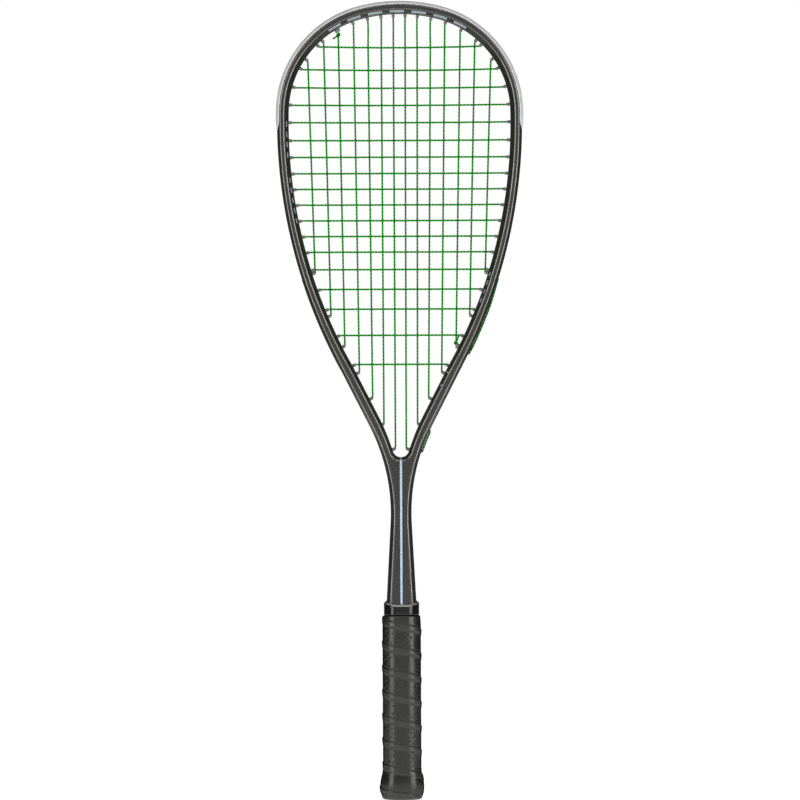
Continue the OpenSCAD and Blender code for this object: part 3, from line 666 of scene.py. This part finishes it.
def barrel(spot, side, d):
    """A grommet barrel turned about its hole's axis, with a rounded lip and a blind bore."""
    r = d / 2
    bore = WIDE_BORE if d == TIE_BARREL_D else BORE
    w = spot[3]
    end = w + stand(spot)
    line = [(0.0, STRIP_U + 0.3), (r, STRIP_U + 0.3), (r, w - 0.5), (r * 1.12, w + 0.1), (r * 1.14, w + 0.5),
            (r * 1.16, end - 0.45), (r * 1.10, end - 0.15), (r * 0.96, end),
            (bore + 0.12, end), (bore, end - 0.15), (bore, w - 0.5), (0.0, w - 0.5)]
    centre = at(spot, side, 0, 0, 0)
    inward = at(spot, side, 1, 0, 0) - centre
    across = np.array([0.0, 1.0, 0.0])
    third = np.cross(inward, across)
    turn = np.arange(BARREL_SIDES) * 2 * math.pi / BARREL_SIDES
    rings = [centre + inward * u + rr * (np.cos(turn)[:, None] * across + np.sin(turn)[:, None] * third)
             for rr, u in line[1:-1]]
    return loft(rings)


def strip_sweep(s_from, s_to, side, section, step=2.5, taper=lambda section, s: section):
    """A closed bar of that (u, y) section along the outer edge."""
    rings = []
    for s in np.linspace(s_from, s_to, int((s_to - s_from) / step) + 1):
        p, n = station(abs(s))
        mirror = side * (-1.0 if s < 0 else 1.0)
        rings.append([(mirror * (p - u * n)[0], y, (p - u * n)[1]) for u, y in taper(section, s)])
    return loft(rings)


def rounded(points, r, steps=2):
    """The polygon with each corner cut by a short arc."""
    out = []
    pts = [np.array(p, float) for p in points]
    for before, here, after in zip(pts[-1:] + pts, pts, pts[1:] + pts[:1]):
        a, b = before - here, after - here
        la, lb = np.linalg.norm(a), np.linalg.norm(b)
        cut = min(r, 0.4 * la, 0.4 * lb)
        start, end = here + a / la * cut, here + b / lb * cut
        for k in range(steps + 1):
            t = k / steps
            out.append(tuple((1 - t) ** 2 * start + 2 * t * (1 - t) * here + t * t * end))
    return out


def s_of_heading(h):
    if h <= H1:
        return R_TOP * rad(h)
    if h <= H2:
        return L_TOP + R_SHOULDER * rad(h - H1)
    return S2 + R_SIDE * rad(h - H2)


GUARD_CROSSES, SIDE_CROSSES, THROAT_CROSSES = range(0, 5), range(5, 13), range(13, 18)
STRIP_SECTION = rounded([(STRIP_U, -STRIP_HALF), (STRIP_U + STRIP_T, -STRIP_HALF),
                         (STRIP_U + STRIP_T, STRIP_HALF), (STRIP_U, STRIP_HALF)], 0.15)
HALF_GUARD = [(STRIP_U, GUARD_GROOVE), (-GUARD_OUT + 0.25, GUARD_GROOVE), (-GUARD_OUT, GUARD_GROOVE + 0.3),
              (-GUARD_OUT, 4.1), (-0.55, 5.5), (0.5, 7.6), (1.35, 8.75), (1.75, 8.82), (2.0, 8.3),
              (0.05, SIDE_FLAT + 0.05), (-0.05, 3.6), (-0.05, STRIP_HALF), (STRIP_U + STRIP_T, STRIP_HALF)]
GUARD_SECTION = rounded(HALF_GUARD + [(u, -y) for u, y in reversed(HALF_GUARD)], 0.16)
GUARD_TAPER = 11.0


def guard_taper(section, s):
    """Near its ends the guard thins to the frame's side and narrows."""
    left = s_of_heading(GUARD_END) - abs(s)
    k = smoothstep(-4.0, GUARD_TAPER, left)
    out = []
    for u, y in section:
        flat = SIDE_FLAT + 0.25
        if abs(y) > flat:
            y = math.copysign(flat + (abs(y) - flat) * k, y)
            edge_u = 0.04 + (abs(y) - SIDE_FLAT) * 0.5
            u = edge_u + (u - edge_u) * (0.25 + 0.75 * k) if u < edge_u else u
        elif u < 0:
            u = u * (0.2 + 0.8 * k)
        out.append((u, y))
    return out


def main_barrels(hole, side, tied_side):
    """The main strings' barrels on one side. The wide one holds the tie-off as well."""
    sizes = [TIE_BARREL_D if i == TIE_MAIN and side == tied_side else BARREL_D for i in range(MAINS)]
    return [barrel(hole(i), side, d) for i, d in enumerate(sizes)]


def cross_barrels(crosses, side):
    return [barrel(cross_hole(j), side, BARREL_D) for j in crosses]


def guard_piece(name, node, material, parts):
    verts, faces, marks = join_parts(parts)
    obj = make_mesh(name, verts, faces, material, 38.0, attrs=marks)
    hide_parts(node)


def build_guards():
    s_guard = s_of_heading(GUARD_END)
    parts = [strip_sweep(-s_guard, s_guard, 1, GUARD_SECTION, GUARD_STEP, guard_taper)]
    for side in (-1, 1):
        parts += main_barrels(top_hole, side, -1) + cross_barrels(GUARD_CROSSES, side)
    guard_piece("guard_and_barrels", "bumper_guard", GUARD, parts)
    s_strip = s_of_heading(cross_hole(SIDE_CROSSES[-1])[2] + STRIP_PAST_HOLE)
    strips = (("side", SIDE_CROSSES, s_guard + STRIP_GAP, s_strip),
              ("throat", THROAT_CROSSES, s_strip + STRIP_GAP, s_of_tilt(CHANNEL_END_TILT + 1)))
    for side, word in ((-1, "left"), (1, "right")):
        for place, crosses, s_from, s_to in strips:
            parts = [strip_sweep(s_from, s_to, side, STRIP_SECTION)] + cross_barrels(crosses, side)
            if place == "throat":
                parts += main_barrels(low_hole, side, 1)
            node = f"{place}_grommet_strip_{word}"
            guard_piece(f"{place}_barrels_{word}", node, GROMMET, parts)


# ---- string, laced in the CAD source's order
MAIN_LANE, CROSS_LANE = -1.3, 1.3
FLAT_U = STRIP_U - STRING_D / 2 - 0.05
OVER_U, PROUD_U, TIE_OFFSET = 0.45, -0.85, 0.65
KNOT_R, KNOT_PITCH, KNOT_STEPS = 1.2, 1.3, 12
SAG = [1.0, 1.0, 0.8, 0.6, 0.4, 0.2]
PATH_STEP, STRING_SIDES = 1.9, 9


def leaving(spot, side, way, lane, y, u):
    return [tip(spot, side, y), at(spot, side, 2, y, 0),
            at(spot, side, u + 0.9 if u < 1 else 1.5, y + (lane - y) / 4, way * 0.75),
            at(spot, side, u, lane, way * 2.8)]


def entering(spot, side, way, lane, y, u):
    return leaving(spot, side, way, lane, y, u)[::-1]


def meets(i, j):
    return tip(low_hole(i), 1, 0)[2] + 2 < CROSS_Z[j] < tip(top_hole(i), 1, 0)[2] - 2


def over(i, side, j):
    column = MAINS - 1 - i if side < 0 else MAINS + i
    return 1 if (column + j) % 2 == 0 else -1


def crossing_z(i, j):
    """A cross string's height where it meets a main: the upper ones sag a little in the middle."""
    sag = SAG[j] if j < len(SAG) else 0.0
    reach = tip(cross_hole(j), 1, 0)[0]
    return CROSS_Z[j] - sag * (1 - (main_x(i, CROSS_Z[j]) / reach) ** 2)


def crossing(i, j, side, sign):
    return np.array([side * main_x(i, CROSS_Z[j]), sign * over(i, side, j) * WEAVE, crossing_z(i, j)])


def main_rising(i, side):
    return [crossing(i, j, side, 1) for j in range(CROSSES - 1, -1, -1) if meets(i, j)]


def cross_half(j, side):
    return [crossing(i, j, side, -1) for i in range(MAINS) if meets(i, j)]


def cross_rightwards(j):
    return cross_half(j, -1)[::-1] + cross_half(j, 1)


def tie_y(i, side, tied_side):
    return -side * TIE_OFFSET if i == TIE_MAIN and side == tied_side else 0


def loop(a, b, middle, side, way, lane, u, y_a=0, y_b=0):
    """A run outside the frame from hole a to hole b."""
    return (leaving(a, side, way, lane, y_a, u) + [at(middle, side, u, lane, 0)]
            + entering(b, side, -way, lane, y_b, u))


def low_loop(i, side, u):
    a, b = low_hole(i), low_hole(i - 1)
    middle = side_spot((a[1] + b[1]) / 2)
    return loop(a, b, middle, side, 1, MAIN_LANE, u, tie_y(i, side, 1), tie_y(i - 1, side, 1))


def top_loop(i, side):
    a, b = top_hole(i), top_hole(i - 1)
    middle = top_spot((a[0] + b[0]) / 2)
    return loop(a, b, middle, side, -1, MAIN_LANE, FLAT_U, tie_y(i, side, -1), tie_y(i - 1, side, -1))


def cross_loop(j, side):
    a, b = cross_hole(j), cross_hole(j - 1)
    return loop(a, b, side_spot((a[1] + b[1]) / 2), side, -1, CROSS_LANE, FLAT_U)


def knot(spot, side, y, down, start):
    p = tip(spot, side, 0)
    return [np.array([p[0] + KNOT_R * cosd(start + 45 * k),
                      y + KNOT_R * sind(start + 45 * k),
                      p[2] - down * (1.3 + KNOT_PITCH * k / 8)]) for k in range(KNOT_STEPS + 1)]


def string_route():
    last = MAINS - 1
    low_knot = knot(low_hole(TIE_MAIN), 1, -TIE_OFFSET, -1, 90)[::-1]
    top_knot = knot(top_hole(TIE_MAIN), -1, TIE_OFFSET, 1, 270)
    low_tail = [low_knot[0] + np.array([2.9, 0.4, 6.2]), low_knot[0] + np.array([1.2, 0.6, 2.2])]
    top_tail = [top_knot[-1] + np.array([-1.8, -0.6, -0.8]), top_knot[-1] + np.array([-4.6, -0.4, -2.6])]
    route = low_tail + low_knot + leaving(low_hole(TIE_MAIN), 1, -1, 0, TIE_OFFSET, -0.1)
    outside = ((387, -0.5), (396, PROUD_U), (424, PROUD_U), (436, -0.4))
    route += [at(side_spot(z), 1, u, 0, 0) for z, u in outside]
    route += entering(low_hole(last), 1, 1, 0, 0, 0.2)
    for i in (6, 4, 2):
        route += main_rising(i, 1) + top_loop(i, 1) + main_rising(i - 1, 1)[::-1]
        route += low_loop(i - 1, 1, PROUD_U if i == 2 else FLAT_U)
    route += main_rising(0, 1)
    route += leaving(top_hole(0), 1, -1, MAIN_LANE, 0, FLAT_U)
    route += entering(top_hole(0), -1, -1, MAIN_LANE, 0, FLAT_U)
    route += main_rising(0, -1)[::-1]
    for i in (1, 3, 5):
        route += low_loop(i, -1, FLAT_U)[::-1] + main_rising(i, -1)
        route += top_loop(i + 1, -1)[::-1] + main_rising(i + 1, -1)[::-1]
    route += leaving(low_hole(last), -1, 1, 0, 0, OVER_U)
    route += [at(side_spot(z), -1, OVER_U, 0, 0) for z in (434, 418, 402, 386)]
    route += entering(cross_hole(CROSSES - 1), -1, -1, 0, 0, OVER_U)
    for j in range(CROSSES - 1, -1, -1):
        rightwards = (CROSSES - 1 - j) % 2 == 0
        route += cross_rightwards(j) if rightwards else cross_rightwards(j)[::-1]
        if j > 0:
            route += cross_loop(j, 1 if rightwards else -1)
    route += leaving(cross_hole(0), -1, -1, 0, 0, OVER_U)
    route += [at(top_spot(x), -1, OVER_U, 0, 0) for x in (68, 62)]
    route += entering(top_hole(TIE_MAIN), -1, 1, 0, -TIE_OFFSET, OVER_U)
    return np.array(route + top_knot + top_tail)


def between(a, b, ta, tb, t):
    """The point at t on the line that is at a when t is ta and at b when t is tb."""
    return (tb - t) / (tb - ta) * a + (t - ta) / (tb - ta) * b


def smooth_path(points, step):
    """A centripetal Catmull-Rom line through the points, with a point about every step."""
    padded = np.vstack([2 * points[0] - points[1], points, 2 * points[-1] - points[-2]])
    out = []
    for i in range(1, len(padded) - 2):
        p0, p1, p2, p3 = padded[i - 1:i + 3]
        gaps = [max(np.linalg.norm(gap), 1e-6) for gap in (p1 - p0, p2 - p1, p3 - p2)]
        t1, t2, t3 = np.cumsum(np.sqrt(gaps))
        count = math.ceil(gaps[1] / step)
        for t in np.linspace(t1, t2, count, endpoint=False):
            a1 = between(p0, p1, 0, t1, t)
            a2 = between(p1, p2, t1, t2, t)
            a3 = between(p2, p3, t2, t3, t)
            b1 = between(a1, a2, 0, t2, t)
            b2 = between(a2, a3, t1, t3, t)
            out.append(between(b1, b2, t1, t2, t))
    out.append(points[-1])
    return np.array(out)


def tube(path, r, sides):
    """Verts, faces and corner UVs of a round tube: u once round, v the length in mm."""
    t = np.gradient(path, axis=0)
    t /= np.linalg.norm(t, axis=1)[:, None]
    normal = np.cross(t[0], [0.1, 1.0, 0.3])
    rings = []
    for i in range(len(path)):
        normal = normal - normal.dot(t[i]) * t[i]
        normal /= np.linalg.norm(normal)
        other = np.cross(t[i], normal)
        turn = np.arange(sides) * 2 * math.pi / sides
        rings.append(path[i] + r * (np.cos(turn)[:, None] * normal + np.sin(turn)[:, None] * other))
    verts, faces = loft(rings)
    length = np.concatenate([[0], np.cumsum(np.linalg.norm(np.diff(path, axis=0), axis=1))])
    uvs = []
    for i in range(len(path) - 1):
        for k in range(sides):
            uvs += [(k / sides, length[i]), ((k + 1) / sides, length[i]),
                    ((k + 1) / sides, length[i + 1]), (k / sides, length[i + 1])]
    uvs += [(0.5, 0.0)] * sides + [(0.5, length[-1])] * sides
    return verts, faces, uvs, float(length[-1])


def with_corners(points, turn_from=14.0, near=1.1):
    """Extra points close to each sharp turn, so that the runs between turns stay straight."""
    out = [points[0]]
    for before, here, after in zip(points, points[1:], points[2:]):
        a, b = here - before, after - here
        la, lb = np.linalg.norm(a), np.linalg.norm(b)
        cosine = a.dot(b) / max(la * lb, 1e-9)
        sharp = cosine < cosd(turn_from)
        if sharp and la > 3 * near:
            out.append(here - a / la * near)
        out.append(here)
        if sharp and lb > 3 * near:
            out.append(here + b / lb * near)
    return np.array(out + [points[-1]])


def build_string():
    path = smooth_path(with_corners(string_route()), PATH_STEP)
    verts, faces, uvs, length = tube(path, FULLNESS * STRING_D / 2, STRING_SIDES)
    obj = make_mesh("woven_string", verts, faces, STRING, 60.0, uvs)
    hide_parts("string")
    print(f"string length {length:.0f} mm, {len(verts)} vertices")


# ---- handle
CUT_X, CUT_Y = 0.235, 0.27
GRIP_W, GRIP_D, GRIP_TOP, GRIP_T = 33.4, 28.4, 158.5, 2.0
CORNER_STEPS, EDGE_STEPS = 6, 27
PITCH, SEAM_Z, WRAP_ROUND = 20.7, 69.0, 5.2
GRIP_ROWS, HOLE_DEPTH = 372, 0.6
GRIP_FOOT, GRIP_ROUND = 3.4, 0.9
WRAP_RISE, WRAP_LIP, WRAP_CREASE, WRAP_WAVE = 0.52, 0.12, 0.26, 0.07
HOLES_FROM, HOLES_TO = (24, 34), (146, 152)
HOLE_GROUP = ((0, 0), (-1.9, -3.9), (3.4, -3.1), (-3.4, 3.1), (1.7, 4.3))
GROUPS_ROUND, GROUP_SHIFT, GROUP_START, GROUP_RISE = 6, 2.9, 4.3, 13.9


def octagon_ring(w, d, cut_x, cut_y, r):
    """Points and normals round an octagon with rounded corners, from the middle of the front to +X."""
    right = [(w / 2 - cut_x, -d / 2), (w / 2, -d / 2 + cut_y), (w / 2, d / 2 - cut_y), (w / 2 - cut_x, d / 2)]
    pts = [np.array(c, float) for c in right + [(-x, y) for x, y in reversed(right)]]
    out = []
    for before, here, after in zip(pts[-1:] + pts, pts, pts[1:] + pts[:1]):
        a, b = before - here, after - here
        a, b = a / np.linalg.norm(a), b / np.linalg.norm(b)
        start, end = here + a * r, here + b * r
        for k in range(CORNER_STEPS):
            t = (k + 0.5) / CORNER_STEPS
            out.append((1 - t) ** 2 * start + 2 * t * (1 - t) * here + t * t * end)
        run = after - b * r - end
        out += [end + run * (k + 0.5) / EDGE_STEPS for k in range(EDGE_STEPS)]
    ring = np.roll(np.array(out), EDGE_STEPS // 2, axis=0)
    tangent = np.roll(ring, -1, axis=0) - np.roll(ring, 1, axis=0)
    normal = np.stack([tangent[:, 1], -tangent[:, 0]], axis=1)
    normal /= np.linalg.norm(normal, axis=1)[:, None]
    return ring, normal


FLARE_Z = [3.4, 5.0, 7.2, 10.2, 13.5, 16.2, 19.0, 22.1, 25.0, 28.0, 150.0, 158.5]
FLARE_HALF = [17.5, 18.15, 18.65, 18.9, 18.9, 18.65, 18.05, 17.3, 16.8, 16.5, 16.5, 16.1]


def grip_size(z):
    half = float(np.interp(z, FLARE_Z, FLARE_HALF))
    return 2 * half, 2 * half - (GRIP_W - GRIP_D)


def wave(q, z, seed):
    """A slow, repeatable unevenness between -1 and 1."""
    return (np.sin(0.31 * q + 0.13 * z + seed) + np.sin(0.17 * q - 0.37 * z + 2.1 * seed)
            + np.sin(0.071 * q + 0.22 * z + 3.7 * seed)) / 3


def build_grip():
    base, _ = octagon_ring(GRIP_W, GRIP_D, GRIP_W * CUT_X, GRIP_D * CUT_Y, WRAP_ROUND)
    steps = np.linalg.norm(np.roll(base, -1, axis=0) - base, axis=1)
    girth = steps.sum()
    q = np.concatenate([[0], np.cumsum(steps)[:-1]])
    straight = np.linspace(GRIP_FOOT, GRIP_TOP - GRIP_ROUND, GRIP_ROWS)
    zs = np.concatenate([straight, straight[-1] + np.array([0.35, 0.65, 0.85])])
    inset = np.concatenate([np.zeros(GRIP_ROWS), [0.12, 0.42, GRIP_ROUND]])
    group_gap = (girth - GROUP_SHIFT) / GROUPS_ROUND
    group_start = GROUP_START - 4 * girth
    verts, hollow, raised = [], [], []
    for z, tuck in zip(zs, inset):
        w, d = grip_size(z)
        ring, normal = octagon_ring(w, d, w * CUT_X, d * CUT_Y, WRAP_ROUND)
        from_seam = SEAM_Z - q / girth * PITCH - z
        below, turn = from_seam % PITCH, np.floor(from_seam / PITCH)
        rise = smoothstep(0, 0.55, below) * (1 - smoothstep(3.4, 6.6, below))
        crease = smoothstep(PITCH - 1.0, PITCH - 0.15, below) + (1 - smoothstep(0, 0.3, below))
        lip = np.exp(-((below - 0.9) / 0.6) ** 2)
        height = WRAP_RISE * rise + WRAP_LIP * lip - WRAP_CREASE * np.clip(crease, 0, 1)
        height = height + WRAP_WAVE * wave(q, z, 1.3)
        along = q + turn * girth - group_start
        across = below - GROUP_RISE
        hole = np.zeros(len(q))
        cell = np.round(along / group_gap)
        for dx, dz in HOLE_GROUP:
            away = np.hypot(along - cell * group_gap - dx, across - dz)
            hole = np.maximum(hole, 1 - smoothstep(0.50, 0.98, away))
        hole = hole * (smoothstep(*HOLES_FROM, z) * (1 - smoothstep(*HOLES_TO, z)))
        height = height - HOLE_DEPTH * hole - tuck
        verts.append(at_height(ring + normal * height[:, None], z))
        # Painted shade for the perforation pits and the seam creases, passed to the wrap material
        hollow.append(np.clip(hole * 0.97 + 0.45 * np.clip(crease, 0, 1) * (1 - 0.5 * hole), 0, 1))
        # The rise below each seam also sets the painted highlight on the raised band
        raised.append(rise)
    cols = len(q)
    for z in (GRIP_TOP, 5.4, 3.6):
        w, d = grip_size(max(z, 5.0))
        inner_w, inner_d = w - 2 * GRIP_T, d - 2 * GRIP_T
        ring, _ = octagon_ring(inner_w, inner_d, inner_w * CUT_X, inner_d * CUT_Y, 2.0)
        verts.append(at_height(ring, z))
        hollow.append(np.zeros(cols))
        raised.append(np.zeros(cols))
    faces = sleeve_faces(len(verts), cols)
    obj = make_mesh("wrapped_grip", np.vstack(verts), faces, WRAP, 60.0,
                    attrs={"hollow": np.concatenate(hollow), "raised": np.concatenate(raised)})
    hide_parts("grip")


def build_butt():
    # Half width, height, and how round the row is, from 0 for eight-sided to 1 for a circle
    rows = [(18.3, 4.5, 0.0), (17.75, 3.4, 0.0), (17.45, 2.6, 0.0), (16.9, 1.9, 0.0), (16.0, 1.2, 0.0),
            (14.9, 0.75, 0.0), (13.4, 0.4, 0.1), (11.5, 0.18, 0.45), (9.6, 0.06, 1.0), (8.7, 0.02, 1.0),
            (8.35, 0.12, 1.0), (8.2, 0.35, 1.0), (8.15, 1.3, 1.0), (4.0, 1.3, 1.0), (0.6, 1.3, 1.0)]
    rings = []
    for half, z, round_part in rows:
        w, d = 2 * half - 0.7 * (z >= 3.4), 2 * half - 5.2 * (1 - round_part) - 0.7 * (z >= 3.4)
        ring, _ = octagon_ring(w, d, w * CUT_X, d * CUT_Y, min(2.6, 0.12 * w))
        circle = ring / np.linalg.norm(ring, axis=1)[:, None] * half
        ring = (1 - round_part) * ring + round_part * circle
        rings.append(at_height(ring, z))
    verts, faces = loft(rings)
    obj = make_mesh("butt_cap_rim", verts, faces, CAP, 40.0)
    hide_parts("butt_cap")


COLLAR_SECTION = (30.3, 24.6, 7.2, 6.8, 3.6)
COLLAR_BORE = (24.6, 18.3, 4.0, 4.4, 1.4)
COLLAR_EDGE, COLLAR_RISE, COLLAR_WAVE = 168.3, 3.0, 0.18
# How far in towards the shaft each row is, with its height, or its drop below the wavy top
COLLAR_FOOT = ((0.25, 158.5), (0.06, 158.9), (0.0, 159.6), (0.03, 162.0), (0.02, 164.0))
COLLAR_TOP = ((0.0, 2.55), (0.015, 2.2), (0.06, 1.95), (0.14, 1.72), (0.45, 0.95), (0.8, 0.12), (0.9, 0.0),
              (0.97, 0.15), (1.0, 0.5))


def build_collar():
    outer, normal = octagon_ring(*COLLAR_SECTION)
    facing = np.abs(normal[:, 0]) ** 2
    top = COLLAR_EDGE + COLLAR_RISE * facing + COLLAR_WAVE * wave(np.arange(len(outer)) * 1.5, 0.0, 0.7)
    inner, _ = octagon_ring(*COLLAR_BORE)
    rows, lip = [], []
    levels = [(share, np.full(len(outer), z), 0.0) for share, z in COLLAR_FOOT]
    # The lip value paints a highlight on the collar's top chamfer, strongest at front and back
    levels += [(share, top - drop, float(0.05 < share < 0.5)) for share, drop in COLLAR_TOP]
    for share, z, light in levels:
        bulge = 0.10 * wave(np.arange(len(outer)) * 1.1, float(z[0]) * 2.0, 2.2)
        xy = outer * (1 - share) + inner * share + normal * (bulge * (1 - share))[:, None]
        rows.append(np.column_stack([xy, z]))
        lip.append((1 - facing) * light)
    rows.append(at_height(inner * 0.985, GRIP_TOP))
    lip.append(np.zeros(len(outer)))
    faces = sleeve_faces(len(rows), len(outer))
    obj = make_mesh("gloss_collar", np.vstack(rows), faces, RUBBER, 50.0,
                    attrs={"lip": np.concatenate(lip)})
    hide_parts("rubber_collar")


STEM_SECTION, STEM_Z = (22.0, 15.0, 3.0, 3.0, 0.8), (14.0, 60.0, 110.0, 171.0)


def build_stem():
    ring, _ = octagon_ring(*STEM_SECTION)
    verts, faces = loft([at_height(ring, z) for z in STEM_Z])
    make_mesh("frame_stem", verts, faces, CARBON, 30.0,
              uvs=[(0.0, 0.0)] * sum(len(f) for f in faces), attrs={"edge": np.zeros(len(verts))})


# ---- stripe and marks
def build_stripes():
    """The painted stripe: in its groove down the shaft, then over the bevel to the throat opening."""
    right = [(0.4, 0.02), (0.7, -0.03), (0.85, -0.10), (0.85, -0.30)]
    section = [(-x, y) for x, y in reversed(right)] + [(0.0, 0.04)] + right
    heights = np.concatenate([np.linspace(SHAFT_BOTTOM + 6.0, GROOVE_TOP - 1.2, 60),
                              np.linspace(GROOVE_TOP - 0.8, U_BOTTOM - 0.75, 18)])
    for side, word in ((-1, "front"), (1, "back")):
        rings = []
        for z in heights:
            d = U_BOTTOM - z
            level = soft_min([DEPTH_HALF, inner_height(d, BEVEL_U[-1])], ROUNDING)
            lift = -0.16 + 0.24 * smoothstep(GROOVE_TOP - 0.9, GROOVE_TOP + 0.3, z)
            rings.append([(x, side * (level + y + lift), z) for x, y in section])
        verts, faces = loft(rings)
        make_mesh("shaft_stripe_" + word, verts, faces, STRIPE, 50.0)


def inner_height(d, bevel):
    """Height of the inner bevel at distance d from the opening."""
    return profile(np.maximum(d, 0), [(0, INNER_FLAT), (INNER_CHAMFER, INNER_SHOULDER), (bevel, DEPTH_HALF)])


def s_at_height(z):
    """The length along the outline at which its right side is at height z, below the widest place."""
    lengths = np.linspace(S2, S4, 300)
    return float(np.interp(-z, [-station(s)[0][1] for s in lengths], lengths))


def inner_mark(s_from, s_to, d_from, d_to, side):
    """A thin painted bar on the front inner bevel, between two lengths along the outline."""
    rings = []
    for s in np.linspace(s_from, s_to, max(3, int((s_to - s_from) / 1.5))):
        p, n = station(abs(s))
        w = float(np.interp(abs(s), WIDTH_S, WIDTH_U))
        b = float(np.interp(abs(s), BEVEL_S, BEVEL_U))
        mirror = side * (-1.0 if s < 0 else 1.0)
        ring = []
        for d, lift in ((d_from, -0.15), (d_from, 0.06), (d_to, 0.06), (d_to, -0.15)):
            x, z = p - (w - d) * n
            ring.append((mirror * x, -(float(inner_height(d, b)) + lift), z))
        rings.append(ring)
    return loft(rings)


def build_marks():
    """Plain equal bars round the crown, and short dashes and dots further down."""
    parts = [inner_mark(s - 6.5, s + 6.5, 1.1, 2.9, 1) for s in range(-62, 59, 20)]
    parts += [inner_mark(s, s + 4.5, 1.3, 2.1, -1) for s in (*range(166, 194, 9), *range(215, 252, 9))]
    parts += [inner_mark(s, s + 4.0, 1.3, 2.1, 1) for s in range(300, 325, 8)]
    parts += [inner_mark(s, s + 1.7, 1.5, 2.9, 1) for s in (s_at_height(363.7), s_at_height(352.7))]
    verts, faces, _ = join_parts(parts)
    make_mesh("inner_marks", verts, faces, MARKS, 50.0)


# ---- assembly
build_frame()
build_stem()
build_guards()
build_string()
build_grip()
build_butt()
build_collar()
build_stripes()
build_marks()

for node, material in (("pallet_front", FOAM), ("pallet_back", FOAM), ("stem_plug", PLUG),
                       ("butt_end_disc", DISC), ("staples", STEEL), ("finishing_tape", TAPE)):
    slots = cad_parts[node].data.materials
    slots.clear()
    slots.append(material)

# ---- floor, backdrop, light and camera
def floor_material():
    n = Nodes("pale_floor")
    colour = n.mix(n.noise(6.0, 2.0), grey(0.90), grey(0.94))
    return n.out(Base_Color=colour, Roughness=0.8, Specular_IOR_Level=0.1,
                 Emission_Color=grey(1.0), Emission_Strength=0.80)


FLOOR_R, FLOOR_SIDES = 0.85, 96
turn = np.linspace(0, 2 * math.pi, FLOOR_SIDES + 1)[:-1]
rim = [(FLOOR_R * math.cos(a), FLOOR_R * math.sin(a), 0.0) for a in turn]
mesh = bpy.data.meshes.new("floor")
mesh.from_pydata([(0, 0, 0)] + rim, [], [(0, 1 + k, 1 + (k + 1) % FLOOR_SIDES) for k in range(FLOOR_SIDES)])
mesh.materials.append(floor_material())
floor = add_object("floor", mesh)

bpy.context.scene.view_settings.view_transform = "Standard"
world = bpy.data.worlds.new("studio")
bpy.context.scene.world = world
world.use_nodes = True
wt = world.node_tree
wt.nodes.clear()
path = wt.nodes.new("ShaderNodeLightPath")
WORLD_SEEN, WORLD_LIT = 1.0, 0.06


def background(colour, strength):
    node = wt.nodes.new("ShaderNodeBackground")
    node.inputs["Color"].default_value = colour
    node.inputs["Strength"].default_value = strength
    return node.outputs[0]


blend = wt.nodes.new("ShaderNodeMixShader")
end = wt.nodes.new("ShaderNodeOutputWorld")
wt.links.new(path.outputs["Is Camera Ray"], blend.inputs[0])
wt.links.new(background((0.95, 0.97, 1.0, 1), WORLD_LIT), blend.inputs[1])
wt.links.new(background((1, 1, 1, 1), WORLD_SEEN), blend.inputs[2])
wt.links.new(blend.outputs[0], end.inputs[0])

AIM = Vector((0, 0, 0.34))
LIGHTS = (("strip_right", (1.66, -1.60, 0.50), (1.5, 1.8), 40),
          ("strip_left", (-1.66, -1.60, 0.50), (1.3, 1.8), 34),
          ("front_soft", (0.0, -6.2, 0.6), (4.0, 4.0), 30),
          ("strip_back_right", (1.3, 2.1, 0.6), (0.6, 1.6), 1.5),
          ("strip_back_left", (-1.3, 2.1, 0.6), (0.6, 1.6), 1.5),
          ("top_soft", (0.0, -1.0, 2.3), (1.4, 1.2), 13))
for name, place, size, power in LIGHTS:
    light = bpy.data.lights.new(name, "AREA")
    light.shape = "RECTANGLE"
    light.size, light.size_y = size
    light.energy = power
    lamp = add_object(name, light)
    lamp.location = place
    lamp.rotation_euler = (AIM - Vector(place)).to_track_quat("-Z", "Y").to_euler()

VIEW_HEIGHT, MIDDLE_X, MIDDLE_Z, DISTANCE, ROLL, SENSOR = 0.6872, -0.0006, 0.3434, 5.0, 0.238, 36.0
camera_data = bpy.data.cameras.new("camera")
camera_data.sensor_width = SENSOR
camera_data.lens = SENSOR * DISTANCE / VIEW_HEIGHT
camera_data.clip_end = 100.0
camera = add_object("camera", camera_data)
camera.location = (MIDDLE_X, -DISTANCE, MIDDLE_Z)
camera.rotation_euler = (math.pi / 2, rad(ROLL), 0.0)
bpy.context.scene.camera = camera
